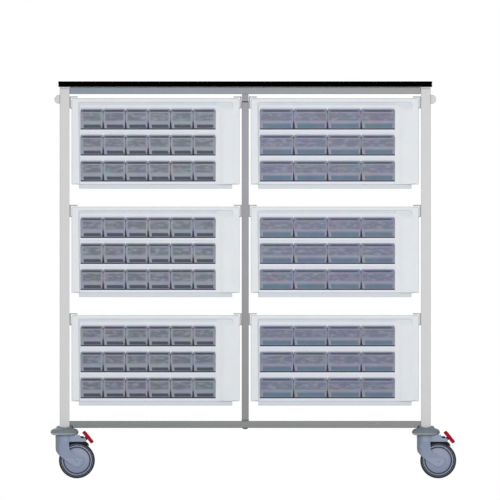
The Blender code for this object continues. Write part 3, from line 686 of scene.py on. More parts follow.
# Painted shade: both rail finishes darken towards the left end, and the lower rails are a darker copy of the
# upper rails' aluminium, as painted shade nearer the floor
UPPER_RAIL_METAL = new_finish(
    "upper_rail_aluminium", srgb(131, 131, 132), 0.36, tint=along(*RAIL_SHADE_SPAN, srgb(114, 123, 136)), **RAIL
)
LOWER_RAIL_METAL = new_finish(
    "lower_rail_aluminium", srgb(119, 118, 118), 0.38, tint=along(*RAIL_SHADE_SPAN, srgb(108, 113, 113)), **RAIL
)
# Painted shade: the centre posts darken towards their foot
CENTRE_POST_METAL = new_finish(
    "centre_post_aluminium",
    srgb(129, 128, 137),
    0.36,
    drift=(6.0, 0.05),
    stretch=DRAWN_Z,
    tint=along("Z", 0.25, 1.25, srgb(117, 117, 118)),
    **BRUSHED,
)
JOINT_DARK = new_finish("dark_joint_rubber", srgb(62, 62, 66), 0.6, specular=0.2)
WELD_METAL = new_finish("weld_metal", srgb(92, 93, 95), 0.5, metallic=0.3, grain=(900.0, 0.25))
# Partly the steel's own grey, partly painted shade: darkened for the shade beside the flange's edge
RUNNER_SHADED_STEEL = new_finish(
    "runner_shaded_steel", srgb(132, 133, 135), 0.34, metallic=0.3, grain=(1300.0, 0.10), stretch=DRAWN_Y
)
BOLT_STEEL = new_finish("bolt_steel", srgb(88, 89, 92), 0.35, metallic=0.6, grain=(500.0, 0.08))

# Finishes of the casings and bins
FLANGE_WHITE = new_finish("flange_white", srgb(226, 230, 234), 0.42, **WHITE_MOULDING)
# Painted shade: the recessed panel is a darker copy of the flange's white, for the shade under the flange's
# border
PANEL_SHADE_WHITE = new_finish(
    "panel_shade_white", srgb(212, 218, 226), 0.44, drift=(9.0, 0.025), crevice=(0.007, 0.2), hue=0.15
)
# Painted shade: the cover darkens near its top, in the recess under the flange's border
COVER_WHITE = new_finish(
    "cover_white",
    srgb(226, 230, 234),
    0.42,
    tint=along("Z", -0.022, -0.036, srgb(221, 228, 233)),
    **WHITE_MOULDING,
)
CARRIER_WHITE = new_finish(
    "carrier_white", srgb(224, 228, 237), 0.42, drift=(11.0, 0.03), crevice=(0.004, 0.2), hue=0.15
)
# Painted highlight: the clips' bright white is a glint where the bins' corners catch the light
CLIP_GLINT_WHITE = new_finish("clip_glint_white", srgb(246, 248, 252), 0.40)
LOWER_LIP_WHITE = new_finish("lower_lip_white", srgb(210, 216, 222), 0.44, drift=(9.0, 0.03))
SHELL_WHITE = new_finish("shell_white", srgb(214, 219, 224), 0.50, drift=(8.0, 0.03), grain=(420.0, 0.12))
# Each bin's cloud colour is painted shade, the dark inside seen through its wall
BIN_FINISHES = {
    "left": bin_finishes(
        "smoked_bin",
        wall=srgb(157, 162, 177),
        cloud=srgb(115, 122, 135),
        line=srgb(134, 139, 153),
        lip=srgb(78, 84, 97),
        foot=srgb(72, 73, 85),
        band=srgb(80, 86, 100),
        cloud_sides=(0.45, 0.36),
        band_fall=(0.26, 0.20),
    ),
    "right": bin_finishes(
        "violet_bin",
        wall=srgb(155, 157, 177),
        cloud=srgb(120, 125, 148),
        line=srgb(134, 142, 163),
        lip=srgb(86, 96, 117),
        foot=srgb(76, 79, 92),
        band=srgb(106, 129, 149),
        cloud_sides=(0.49, 0.44),
        band_fall=(0.33, 0.22),
    ),
}
# Painted shade: the ribs between bins carry the darkness of the deep gaps
GAP_SHADE_SLATE = new_finish("gap_shade_slate", srgb(66, 68, 84), 0.6, specular=0.1)

# Finishes of the casters
# Painted shade: the caster plastic darkens towards the left side of each housing
CASTER_PLASTIC = new_finish(
    "caster_grey_plastic",
    srgb(139, 151, 176),
    0.36,
    drift=(26.0, 0.06),
    crevice=(0.008, 0.35),
    grain=(600.0, 0.06),
    tint=along("X", -0.035, -0.010, srgb(96, 106, 119)),
)
WHEEL_PLASTIC = new_finish(
    "wheel_cover_plastic",
    srgb(135, 144, 169),
    0.34,
    drift=(26.0, 0.06),
    crevice=(0.004, 0.35),
    grain=(600.0, 0.05),
)
# Painted shade in the hub's groove
GROOVE_SHADE = new_finish("wheel_groove_shade", srgb(72, 85, 102), 0.6, specular=0.1)
TYRE_RUBBER = new_finish("tyre_rubber", srgb(38, 43, 52), 0.55, crevice=(0.006, 0.5), **TYRE)
# Painted highlight: a paler copy of the tyre rubber on the sidewall's raised band
TYRE_HIGHLIGHT = new_finish("tyre_side_highlight", srgb(80, 87, 98), 0.55, **TYRE)
# Painted shade: near-black for the shade under the caster's arm and, partly, in the notch of the pedal's lug
SHOE_SHADE_RUBBER = new_finish("brake_shoe_shade_rubber", srgb(26, 28, 34), 0.6, specular=0.1)
BUMPER_RUBBER = new_finish(
    "bumper_rubber", srgb(120, 129, 136), 0.6, crevice=(0.008, 0.6), specular=0.2, **BUMPER
)
# Painted light: a paler copy of the bumper rubber on its outward-facing rim band
BUMPER_LIT_RIM = new_finish("bumper_lit_rim_rubber", srgb(162, 164, 167), 0.48, **BUMPER)
PEDAL_RED = new_finish("pedal_red_plastic", srgb(166, 1, 30), 0.45, drift=(40.0, 0.06), specular=0.08)
PEDAL_DEEP = new_finish("pedal_deep_red_plastic", srgb(96, 4, 22), 0.5, specular=0.2)


# Mesh tools


def to_mesh(bm, angle=SHARP_ANGLE):
    """The finished mesh: faces turned out, smooth shading that keeps the sharp edges."""
    bmesh.ops.remove_doubles(bm, verts=bm.verts, dist=SAME_PLACE)
    bmesh.ops.recalc_face_normals(bm, faces=bm.faces)
    mesh = bpy.data.meshes.new("piece")
    bm.to_mesh(mesh)
    bm.free()
    mesh.shade_smooth()
    mesh.set_sharp_from_angle(angle=math.radians(angle))
    return mesh


def evaluated(obj, angle=SHARP_ANGLE):
    """The mesh of an object with its modifiers. The object itself is removed."""
    bpy.context.view_layer.update()
    graph = bpy.context.evaluated_depsgraph_get()
    mesh = bpy.data.meshes.new_from_object(obj.evaluated_get(graph))
    mesh.transform(obj.matrix_world)
    bpy.data.objects.remove(obj, do_unlink=True)
    bm = bmesh.new()
    bm.from_mesh(mesh)
    return to_mesh(bm, angle)


def new_object(data, name="helper"):
    made = bpy.data.objects.new(name, data)
    bpy.context.scene.collection.objects.link(made)
    return made


def combined(mesh, operation, *others):
    """The mesh after a Boolean with each of the others in turn."""
    base = new_object(mesh)
    tools = [new_object(other) for other in others]
    for tool in tools:
        step = base.modifiers.new(operation.lower(), "BOOLEAN")
        step.operation = operation
        step.object = tool
    made = evaluated(base)
    for tool in tools:
        bpy.data.objects.remove(tool, do_unlink=True)
    return made


def rounded_box(low, high, radius, steps=2):
    """A box between two corners with rounded edges."""
    bm = bmesh.new()
    bmesh.ops.create_cube(bm, size=1.0)
    for vert in bm.verts:
        vert.co = [low[axis] + (vert.co[axis] + 0.5) * (high[axis] - low[axis]) for axis in range(3)]
    bmesh.ops.bevel(bm, geom=bm.edges[:], offset=radius, segments=steps, profile=0.5, affect="EDGES")
    return to_mesh(bm)


def square_bar(half, low, high, radius):
    """An upright square bar about the Z axis with rounded edges."""
    return rounded_box((-half, -half, low), (half, half, high), radius)


def rounded_outline(points, radius, steps=5):
    """The outline with its corners rounded. The radius is one value or one for each corner."""
    made = []
    radii = radius if isinstance(radius, (list, tuple)) else [radius] * len(points)
    for index, point in enumerate(points):
        corner = Vector(point)
        before = Vector(points[index - 1]) - corner
        after = Vector(points[(index + 1) % len(points)]) - corner
        reach = min(radii[index], CORNER_SHARE * before.length, CORNER_SHARE * after.length)
        if reach < SAME_PLACE:
            made.append(corner)
            continue
        start = corner + before.normalized() * reach
        end = corner + after.normalized() * reach
        for step in range(steps + 1):
            share = step / steps
            made.append((1 - share) ** 2 * start + 2 * share * (1 - share) * corner + share**2 * end)
    return [tuple(point) for point in made]


def rectangle(low_x, low_y, high_x, high_y):
    return [(low_x, low_y), (high_x, low_y), (high_x, high_y), (low_x, high_y)]


def arc(centre, radius, start, end, steps):
    """Points along an arc, with angles in degrees."""
    points = []
    for step in range(steps + 1):
        angle = math.radians(start + (end - start) * step / steps)
        points.append((centre[0] + radius * math.cos(angle), centre[1] + radius * math.sin(angle)))
    return points


OUTLINE_TURN = {"XY": (0, 0, 0), "XZ": (math.pi / 2, 0, 0), "YZ": (math.pi / 2, 0, math.pi / 2)}
OUTLINE_AXIS = {"XY": Vector((0, 0, 1)), "XZ": Vector((0, 1, 0)), "YZ": Vector((1, 0, 0))}


def plate(outlines, low, high, plane, edge=0.0):
    """A flat outline, with holes after it, thickened from low to high, with rounded edges."""
    curve = bpy.data.curves.new("outline", "CURVE")
    curve.dimensions = "2D"
    curve.fill_mode = "BOTH"
    curve.extrude = (high - low) / 2 - edge
    curve.bevel_depth = edge
    curve.bevel_resolution = 1
    curve.offset = -edge
    for points in outlines:
        spline = curve.splines.new("POLY")
        spline.points.add(len(points) - 1)
        for point, spot in zip(spline.points, points):
            point.co = (*spot, 0.0, 1.0)
        spline.use_cyclic_u = True
    drawn = new_object(curve)
    drawn.rotation_euler = OUTLINE_TURN[plane]
    drawn.location = OUTLINE_AXIS[plane] * (low + high) / 2
    return evaluated(drawn)


TURN_TO = {
    "X": Matrix.Rotation(math.pi / 2, 4, "Y"),
    "Y": Matrix.Rotation(-math.pi / 2, 4, "X"),
    "Z": Matrix.Identity(4),
}


def lathe(profile, axis="Z", centre=(0, 0, 0), steps=ROUND_STEPS, closed=False):
    """A profile of radius and height turned about an axis."""
    bm = bmesh.new()
    verts = [bm.verts.new((radius, 0.0, height)) for radius, height in profile]
    edges = [bm.edges.new(pair) for pair in zip(verts, verts[1:])]
    if closed:
        edges.append(bm.edges.new((verts[-1], verts[0])))
    bmesh.ops.spin(
        bm, geom=verts + edges, cent=(0, 0, 0), axis=(0, 0, 1), angle=math.tau, steps=steps, use_merge=True
    )
    mesh = to_mesh(bm)
    mesh.transform(Matrix.Translation(centre) @ TURN_TO[axis])
    return mesh


def rod(radius, start, stop, axis="Z", centre=(0, 0, 0), steps=ROUND_STEPS):
    """A plain round bar along an axis."""
    return lathe([(0, start), (radius, start), (radius, stop), (0, stop)], axis, centre, steps)


def both_sides(profile):
    """A profile followed by its mirror image at negative heights."""
    return profile + [(radius, -height) for radius, height in reversed(profile)]


def moved(mesh, offset):
    mesh.transform(Matrix.Translation(offset))
    return mesh


def joined(*parts):
    """One mesh from several, each with a finish for all of it or, given None, with its own."""
    made = bpy.data.meshes.new("joined")
    finishes = []
    bm = bmesh.new()
    for mesh, finish in parts:
        own = [finish] if finish else list(mesh.materials)
        finishes += [kept for kept in own if kept not in finishes]
        start = len(bm.faces)
        bm.from_mesh(mesh)
        bm.faces.ensure_lookup_table()
        for face in bm.faces[start:]:
            kept = finish or own[face.material_index]
            face.material_index = finishes.index(kept)
    bm.to_mesh(made)
    bm.free()
    for finish in finishes:
        made.materials.append(finish)
    return made


def joined_in(finish, *meshes):
    return joined(*[(mesh, finish) for mesh in meshes])


def painted(mesh, finish, chosen):
    """Add a finish to a mesh and give it to the faces that are chosen."""
    index = len(mesh.materials)
    mesh.materials.append(finish)
    for face in mesh.polygons:
        if chosen(face):
            face.material_index = index
    return mesh


def between_radii(inner, outer):
    """Chooses the faces between two radii about the Y axis."""
    return lambda face: inner < math.hypot(face.center.x, face.center.z) < outer


def add_piece(name, mesh, finish, body, nodes, spot=(0, 0, 0), turn=0.0):
    """One visible piece that rides on a body and stands for its nodes. Twins share a mesh."""
    made = new_object(mesh, name)
    made.location = spot
    made.rotation_euler = (0, 0, turn)
    if not mesh.materials:
        mesh.materials.append(finish)
    shading = made.modifiers.new("even_shading", "WEIGHTED_NORMAL")
    shading.keep_sharp = True
    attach(made, body)
    if nodes:
        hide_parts(*nodes)


# Frame pieces


def worktop_pieces():
    """The slab: two bonded boards with a fine seam between, a rim strip and a laminate sheet on top."""
    low, high = WORKTOP
    middle = (low.z + high.z) / 2
    seam = WORKTOP_SEAM / 2
    inset = 2 * WORKTOP_SEAM
    rim = WORKTOP_RIM_WIDTH
    outer = rounded_outline(rectangle(low.x, low.y, high.x, high.y), rim)
    hollow = rectangle(low.x + rim, low.y + rim, high.x - rim, high.y - rim)
    slab = joined_in(
        EDGE_BAND,
        rounded_box(low, (high.x, high.y, middle - seam), WORKTOP_EDGE),
        rounded_box((low.x, low.y, middle + seam), high, WORKTOP_EDGE),
        rounded_box(
            (low.x + inset, low.y + inset, middle - WORKTOP_EDGE),
            (high.x - inset, high.y - inset, middle + WORKTOP_EDGE),
            WORKTOP_SEAM,
        ),
        plate([outer, hollow], high.z - 2 * WORKTOP_EDGE, high.z + WORKTOP_RIM, "XY", WORKTOP_EDGE / 2),
    )
    painted(slab, BLACK_LAMINATE, lambda face: face.normal.z > FLAT_ENOUGH)
    add_piece("worktop_slab", slab, None, "frame", ["worktop"])


def post_pieces():
    """Four square tubes, each with a pale plug under the worktop."""
    low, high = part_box("front_left_post")
    half = (high.x - low.x) / 2
    cap_z = high.z - POST_CAP
    inset = half - CAP_INSET
    outline = rounded_outline(rectangle(-half, -half, half, half), POST_CORNER)
    cap_outline = rounded_outline(rectangle(-inset, -inset, inset, inset), POST_CORNER)
    tube = plate([outline], low.z, cap_z - CAP_SEAM, "XY", POST_EDGE)
    plug = square_bar(half - 4 * CAP_INSET, cap_z - PLUG_LOW, cap_z + PLUG_HIGH, PLUG_EDGE)
    cap = joined((plate([cap_outline], cap_z, high.z, "XY", CAP_EDGE), CAP_PLASTIC), (plug, JOINT_DARK))
    for corner in CORNERS:
        name = f"{corner}_post"
        low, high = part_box(name)
        spot = ((low.x + high.x) / 2, (low.y + high.y) / 2, 0)
        add_piece(f"{name}_tube", tube, POST_LACQUER, "frame", [name], spot)
        add_piece(f"{name}_cap", cap, None, "frame", [name], spot)


def bumper_spot(corner):
    """The place on the floor under a corner's swivel axis."""
    spot = JOINT_SPOTS[f"{corner}_swivel_turn"]
    return Vector((spot.x, spot.y, 0))


def ladder_pieces(level, node_name, finish):
    """Two long rails and three cross bars. The lower rails are notched around the bumpers."""
    low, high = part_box(node_name)
    notches = []
    if level == "lower":
        for corner in CORNERS:
            span = (low.z - NOTCH_DEPTH, low.z + NOTCH_DEPTH)
            notches.append(rod(NOTCH_RADIUS, *span, "Z", bumper_spot(corner)))
    for end, face in ENDS.items():
        outer = low.y if face < 0 else high.y - RAIL_SIDE
        rail = rounded_box(
            (low.x, outer, low.z), (high.x, outer + RAIL_SIDE, high.z), RAIL_CORNER, RAIL_STEPS
        )
        if notches:
            rail = combined(rail, "DIFFERENCE", *notches)
        add_piece(f"{level}_{end}_rail", rail, finish, "frame", [node_name])
    bars = {
        "left": (low.x, low.x + RAIL_SIDE),
        "centre": (CENTRE_X - CENTRE_POST_SIDE / 2, CENTRE_X + CENTRE_POST_SIDE / 2),
        "right": (high.x - RAIL_SIDE, high.x),
    }
    for place, (start, stop) in bars.items():
        bar = rounded_box(
            (start, low.y + RAIL_SIDE - RAIL_CORNER, low.z + BAR_STEP),
            (stop, high.y - RAIL_SIDE + RAIL_CORNER, high.z - BAR_STEP),
            RAIL_CORNER,
            RAIL_STEPS,
        )
        add_piece(f"{level}_{place}_cross_bar", bar, finish, "frame", [node_name])


def bolt_mesh():
    """A low domed bolt head with a socket, seen from below, from shares of its radius and height."""
    shares = ((0, 0), (1, 0), (1, 0.3), (0.85, 0.75), (0.5, 1), (0.42, 1), (0.42, 0.4), (0, 0.4))
    return lathe([(out * BOLT_RADIUS, -down * BOLT_HEIGHT) for out, down in shares], steps=BOLT_STEPS)


def centre_post_pieces():
    """Two centre posts with a narrower spigot above a joint, a weld at the foot and a bolt below the rail."""
    low, high = CENTRE_FRAME
    half = CENTRE_POST_SIDE / 2
    joint = high.z - SPIGOT_LENGTH
    ring_foot = joint - JOINT_RING
    spigot = square_bar(half - SPIGOT_STEP, joint - 2 * JOINT_RING, high.z, CENTRE_POST_CORNER)
    post = joined(
        (square_bar(half, low.z, ring_foot, CENTRE_POST_CORNER), CENTRE_POST_METAL),
        (spigot, CENTRE_POST_METAL),
        (square_bar(half - SPIGOT_STEP / 2, ring_foot, joint, JOINT_EDGE), JOINT_DARK),
        (square_bar(half + WELD_REACH, low.z, low.z + WELD_HEIGHT, WELD_EDGE), WELD_METAL),
    )
    bolt = bolt_mesh()
    outer = TOP_FRAME[1].y - half
    for end, face in ENDS.items():
        spot = (CENTRE_X, face * outer, 0)
        add_piece(f"{end}_centre_post", post, None, "frame", ["centre_frame"], spot)
        below = (CENTRE_X, face * outer, BASE_HEIGHT)
        add_piece(f"{end}_rail_bolt", bolt, BOLT_STEEL, "frame", [], below)


def runner_mesh():
    """A channel along Y. x is 0 at the post's face, z is 0 at the top of the casing that hangs in it."""
    top = RUNNER_RISE
    low = RUNNER_RISE - RUNNER_HEIGHT
    profile = [
        (SEAT_GAP, top),
        (RUNNER_TOP_REACH, top),
        (RUNNER_TOP_REACH, top - RUNNER_TOP_LIP),
        (RUNNER_WEB, top - RUNNER_TOP_LIP),
        (RUNNER_WEB, low + RUNNER_LIP),
        (RUNNER_LOW_REACH, low + RUNNER_LIP),
        (RUNNER_LOW_REACH, low),
        (SEAT_GAP, low),
    ]
    ends = [corner.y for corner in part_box("left_upper_runner")]
    channel = plate([profile], *ends, "XZ", RUNNER_EDGE)
    cuts = []
    for end in ends:
        near = (RUNNER_WEB + CUTBACK_START, end - CUTBACK_LENGTH, low - RUNNER_LIP)
        far = (RUNNER_LOW_REACH + RUNNER_LIP, end + CUTBACK_LENGTH, low + 2 * RUNNER_LIP)
        cuts.append(rounded_box(near, far, CUTBACK_EDGE))
    return combined(channel, "DIFFERENCE", *cuts)


def runner_pieces():
    """Runners on the outer posts and back to back on the centre posts."""
    mesh = runner_mesh()
    half = CENTRE_POST_SIDE / 2
    for side, sign in SIDES.items():
        turn = 0.0 if sign < 0 else math.pi
        for level in LEVELS:
            name = f"{side}_{level}_runner"
            low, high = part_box(name)
            height = high.z - RUNNER_RISE
            outer = (low.x - SEAT_GAP if sign < 0 else high.x + SEAT_GAP, 0, height)
            inner = (CENTRE_X + sign * half, 0, height)
            for label, slot, stands_for, spot, facing in (
                (f"{name}_channel", "runner_metal", name, outer, turn),
                (f"{side}_{level}_inner_channel", "grey_metal", "centre_frame", inner, math.pi - turn),
            ):
                add_piece(label, mesh, RUNNER_SHADED_STEEL, "frame", [stands_for], spot, facing)


def collar_mesh(y):
    """A thin raised ring around the handle's bar."""
    sunk = HANDLE_RADIUS - COLLAR_SUNK
    proud = HANDLE_RADIUS + COLLAR_PROUD
    chamfer = proud - COLLAR_CHAMFER
    flat = COLLAR_FLAT * COLLAR_HALF
    profile = [(sunk, -COLLAR_HALF), (chamfer, -COLLAR_HALF), (proud, -flat)]
    profile += [(proud, flat), (chamfer, COLLAR_HALF), (sunk, COLLAR_HALF)]
    return lathe(profile, "Y", (HANDLE_OFFSET, y, 0), closed=True)


def handle_mesh():
    """A grab bar between the posts, with a collar and a rounded boss at each end."""
    low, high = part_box("right_handle")
    length = high.y - low.y
    post_low, post_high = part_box("front_right_post")
    bar_half = length / 2 - (post_high.y - post_low.y) + HANDLE_LAP
    outline = arc((HANDLE_OFFSET, 0.0), BOSS_RADIUS, *BOSS_ARC)
    outline += [(-2 * BOSS_EDGE, BOSS_RADIUS), (-2 * BOSS_EDGE, -BOSS_RADIUS)]
    behind = (-4 * BOSS_EDGE, -length, -2 * BOSS_RADIUS)
    beyond_seat = rounded_box(behind, (SEAT_GAP, length, 2 * BOSS_RADIUS), BOSS_CUT_EDGE)
    parts = [(rod(HANDLE_RADIUS, -bar_half, bar_half, "Y", (HANDLE_OFFSET, 0, 0)), POST_LACQUER)]
    for face in ENDS.values():
        span = sorted((face * length / 2, face * (bar_half - BOSS_LAP)))
        boss = plate([outline], *span, "XZ", BOSS_EDGE)
        parts.append((combined(boss, "DIFFERENCE", beyond_seat), POST_LACQUER))
        parts.append((collar_mesh(face * (bar_half - COLLAR_BACK)), CAP_PLASTIC))
    return joined(*parts)


def handle_pieces():
    mesh = handle_mesh()
    for side, sign in SIDES.items():
        low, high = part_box(f"{side}_handle")
        post_low, post_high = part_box(f"front_{side}_post")
        face = post_high.x if sign > 0 else post_low.x
        turn = 0.0 if sign > 0 else math.pi
        spot = (face, 0, (low.z + high.z) / 2)
        nodes = [f"{side}_handle"]
        add_piece(f"{side}_handle_bar", mesh, None, "frame", nodes, spot, turn)


# Casings


def smooth_share(value, start, stop):
    """0 at the start, 1 at the stop and an easy curve between."""
    share = min(max((value - start) / (stop - start), 0.0), 1.0)
    return share * share * (3 - 2 * share)


def side_x(half, height):
    """Half the casing's width at a height, on its leaning sides."""
    share = (CASING_CEILING - height) / (CASING_CEILING - CASING_FOOT)
    return half - CASING_TAPER * share


def flange_mesh():
    """The front flange, an upside-down U with rounded corners, and the hanger along each side."""
    foot_x = side_x(FLANGE_INNER, FLANGE_FOOT)
    corners = [
        (-FLANGE_HALF, FLANGE_FOOT, FLANGE_FOOT_CORNER),
        (-foot_x, FLANGE_FOOT, FLANGE_TOE_CORNER),
        (-FLANGE_INNER, -FLANGE_TOP_BORDER, FLANGE_INNER_CORNER),
        (FLANGE_INNER, -FLANGE_TOP_BORDER, FLANGE_INNER_CORNER),
        (foot_x, FLANGE_FOOT, FLANGE_TOE_CORNER),
        (FLANGE_HALF, FLANGE_FOOT, FLANGE_FOOT_CORNER),
        (FLANGE_HALF, 0.0, FLANGE_CORNER),
        (-FLANGE_HALF, 0.0, FLANGE_CORNER),
    ]
    outline = rounded_outline([corner[:2] for corner in corners], [corner[2] for corner in corners])
    parts = [(plate([outline], 0.0, FLANGE_DEPTH, "XZ", FLANGE_EDGE), FLANGE_WHITE)]
    for sign in SIDES.values():
        start, stop = sorted((sign * (CASING_HALF - CASING_TAPER), sign * FLANGE_HALF))
        near = (start, FLANGE_DEPTH - HANGER_EDGE, HANGER_LOW)
        parts.append((rounded_box(near, (stop, CASING_DEPTH, HANGER_HIGH), HANGER_EDGE), SHELL_WHITE))
    return joined(*parts)


def row_pivot(row):
    """The height of a row's pivot under the flange's top."""
    return ROW_TOP - row * ROW_STEP - BIN_HEIGHT - BIN_LOW


def window(row):
    """The opening behind one row of bins."""
    half = (ROW_WIDTH - BIN_GAP) / 2 + WINDOW_GAP
    pivot = row_pivot(row)
    opening = rectangle(ROW_X - half, pivot + SILL, ROW_X + half, pivot + LINTEL_LOW)
    return rounded_outline(opening, WINDOW_CORNER, WINDOW_STEPS)


def carrier_mesh(row):
    """The frame around one row of bins, a little proud of the panel."""
    pivot = row_pivot(row)
    ledge = (ROW_STEP - BIN_HEIGHT) / 2
    top = pivot + BIN_LOW + BIN_HEIGHT + ledge
    foot = pivot + BIN_LOW - ledge
    if row == 0:
        top = -FLANGE_TOP_BORDER - STRIP_HEIGHT
    if row == BIN_ROWS - 1:
        foot = LOWER_LIP_TOP + LOWER_LIP_GAP
    right = ROW_X + ROW_WIDTH / 2 + CARRIER_RIGHT_BORDER
    seam = CARRIER_SEAM / 2
    outer = rounded_outline(rectangle(CARRIER_LEFT, foot + seam, right, top - seam), CARRIER_CORNER)
    front = PANEL_BACK - CARRIER_PROUD
    return plate([outer, window(row)], front, PANEL_BACK + CARRIER_SUNK, "XZ", CARRIER_EDGE)


def backed_sheet(rows, back):
    """A closed piece from rows of points on its front, with a flat back at one depth."""
    bm = bmesh.new()
    front = [[bm.verts.new(point) for point in row] for row in rows]
    behind = [[bm.verts.new((x, back, z)) for x, _, z in row] for row in rows]
    for layer in (front, behind):
        for low, high in zip(layer, layer[1:]):
            for corners in zip(low, low[1:], high[1:], high):
                bm.faces.new(corners)
    edges = [(front[0], behind[0]), (front[-1], behind[-1])]
    edges += [([row[place] for row in front], [row[place] for row in behind]) for place in (0, -1)]
    for near, far in edges:
        for corners in zip(near, near[1:], far[1:], far):
            bm.faces.new(corners)
    return to_mesh(bm)


def even_steps(start, stop, steps):
    """Values from the start up to, but without, the stop."""
    return [start + (stop - start) * step / steps for step in range(steps)]


def cover_mesh():
    """The blank right part: flush with the flange, easing down to the carriers and the strip at its top."""
    left = ROW_X + ROW_WIDTH / 2 + COVER_START
    foot = LOWER_LIP_TOP + LOWER_LIP_GAP
    top = -FLANGE_TOP_BORDER - COVER_TOP_GAP
    heights = even_steps(foot, COVER_TOP_LOW, COVER_LOW_STEPS)
    heights += [*even_steps(COVER_TOP_LOW, top, COVER_TOP_STEPS), top]
    rows = []
    for z in heights:
        right = side_x(FLANGE_INNER, z) + COVER_LAP
        row = []
        for x in [*even_steps(left, right, COVER_STEPS_ACROSS), right]:
            at_left = (PANEL_BACK - CARRIER_PROUD) * (1 - smooth_share(x, left, left + COVER_SLOPE))
            at_top = PANEL_BACK * smooth_share(z, COVER_TOP_LOW, top)
            row.append((x, max(at_left, at_top) - COVER_PROUD, z))
        rows.append(row)
    return backed_sheet(rows, PANEL_BACK + COVER_SUNK)


def clip_mesh():
    """A small white clip above the gap between two bins; its bright white is a painted highlight."""
    low = (-CLIP_WIDTH / 2, PANEL_BACK - CARRIER_PROUD - CLIP_PROUD, CLIP_GAP)
    high = (CLIP_WIDTH / 2, PANEL_BACK, CLIP_GAP + CLIP_HEIGHT)
    return rounded_box(low, high, CLIP_ROUNDING)


def casing_front_mesh(count):
    """The recessed panel, the row carriers, the clips, the blank cover at the right and the lower lip."""
    top = CASING_CEILING - PANEL_TOP_GAP
    foot = CASING_FOOT + PANEL_FOOT_GAP
    foot_x = side_x(CASING_HALF, CASING_FOOT)
    outline = [(-foot_x, foot), (foot_x, foot), (CASING_HALF, top), (-CASING_HALF, top)]
    holes = [window(row) for row in range(BIN_ROWS)]
    panel = plate([outline, *holes], PANEL_BACK, PANEL_BACK + PANEL_DEPTH, "XZ", PANEL_EDGE)
    parts = [(panel, PANEL_SHADE_WHITE), (cover_mesh(), COVER_WHITE)]
    parts += [(carrier_mesh(row), CARRIER_WHITE) for row in range(BIN_ROWS)]
    # Clips whose bright white is a painted highlight above each gap between bins
    for row in range(BIN_ROWS):
        bins_top = row_pivot(row) + BIN_LOW + BIN_HEIGHT
        for gap in range(1, count):
            x = ROW_X - ROW_WIDTH / 2 + gap * ROW_WIDTH / count
            parts.append((moved(clip_mesh(), (x, 0, bins_top)), CLIP_GLINT_WHITE))
    near = (-foot_x, PANEL_BACK - LOWER_LIP_PROUD, CASING_FOOT)
    far = (foot_x, PANEL_BACK + LOWER_LIP_DEPTH, LOWER_LIP_TOP)
    parts.append((rounded_box(near, far, LOWER_LIP_ROUNDING, LOWER_LIP_STEPS), LOWER_LIP_WHITE))
    return joined(*parts)


def tub_outline(inset, low, high):
    """The casing's front outline, with its leaning sides and rounded corners."""
    points = [
        (-side_x(CASING_HALF, low) + inset, low),
        (side_x(CASING_HALF, low) - inset, low),
        (CASING_HALF - inset, high),
        (inset - CASING_HALF, high),
    ]
    return rounded_outline(points, CASING_CORNER - inset)


def side_rib_mesh(sign, y):
    """A rib on one of the tub's leaning sides, lower at its top."""
    low = CASING_FOOT + SIDE_RIB_FOOT_GAP
    high = HANGER_LOW - SIDE_RIB_TOP_GAP
    low_x = side_x(CASING_HALF, low)
    high_x = side_x(CASING_HALF, high)
    outline = [
        (low_x - RIB_SUNK, low),
        (high_x - RIB_SUNK, high),
        (high_x + RIB_PROUD / 2, high - SIDE_RIB_SLOPE),
        (low_x + RIB_PROUD, low + SIDE_RIB_SLOPE),
    ]
    return plate([[(sign * x, z) for x, z in outline]], y, y + RIB_WIDTH, "XZ", SIDE_RIB_EDGE)


def back_frame_meshes():
    """A raised frame on the tub's back with upright ribs across it."""
    low = CASING_FOOT + BACK_FRAME_INSET
    high = CASING_CEILING - BACK_FRAME_INSET
    half = CASING_HALF - BACK_FRAME_SIDE_INSET
    width = BACK_FRAME_WIDTH
    start = CASING_DEPTH - RIB_PROUD - RIB_SUNK
    border = [
        rounded_outline(rectangle(-half, low, half, high), BACK_FRAME_CORNER),
        rounded_outline(
            rectangle(width - half, low + width, half - width, high - width), BACK_FRAME_INNER_CORNER
        ),
    ]
    meshes = [plate(border, start, CASING_DEPTH, "XZ", BACK_EDGE)]
    for rib in range(BACK_RIBS):
        x = -half + (rib + 1) * 2 * half / (BACK_RIBS + 1)
        near = (x - RIB_WIDTH / 2, start, low + BACK_RIB_LAP)
        far = (x + RIB_WIDTH / 2, CASING_DEPTH - BACK_RIB_STEP, high - BACK_RIB_LAP)
        meshes.append(rounded_box(near, far, BACK_EDGE))
    return meshes


def casing_shell_mesh():
    """The hollow tub behind the front, with a cheek beside the bins, ribbed at its sides and back."""
    start = PANEL_BACK + PANEL_DEPTH - SHELL_LAP
    back = CASING_DEPTH - RIB_PROUD
    outer = tub_outline(0.0, CASING_FOOT, CASING_CEILING)
    inner = tub_outline(CASING_WALL, CASING_FOOT + CASING_WALL, CASING_CEILING - CASING_WALL)
    solid = plate([outer], start, back, "XZ", CASING_ROUNDING)
    hollow = plate([inner], start - SHELL_MOUTH, back - CASING_WALL, "XZ", CASING_ROUNDING / 2)
    meshes = [combined(solid, "DIFFERENCE", hollow)]
    cheek_x = ROW_WIDTH / 2 + CHEEK_GAP
    for sign in SIDES.values():
        for rib in range(SIDE_RIBS):
            y = start + (rib + SIDE_RIB_START) * (CASING_DEPTH - start) / SIDE_RIB_SPACES
            meshes.append(side_rib_mesh(sign, y))
        left, right = sorted((ROW_X + sign * cheek_x, ROW_X + sign * (cheek_x + CASING_WALL)))
        near = (left, start, CASING_FOOT + CHEEK_END_GAP)
        far = (right, start + CHEEK_DEPTH, CASING_CEILING - CHEEK_END_GAP)
        meshes.append(rounded_box(near, far, CHEEK_EDGE))
    return joined_in(SHELL_WHITE, *meshes, *back_frame_meshes())


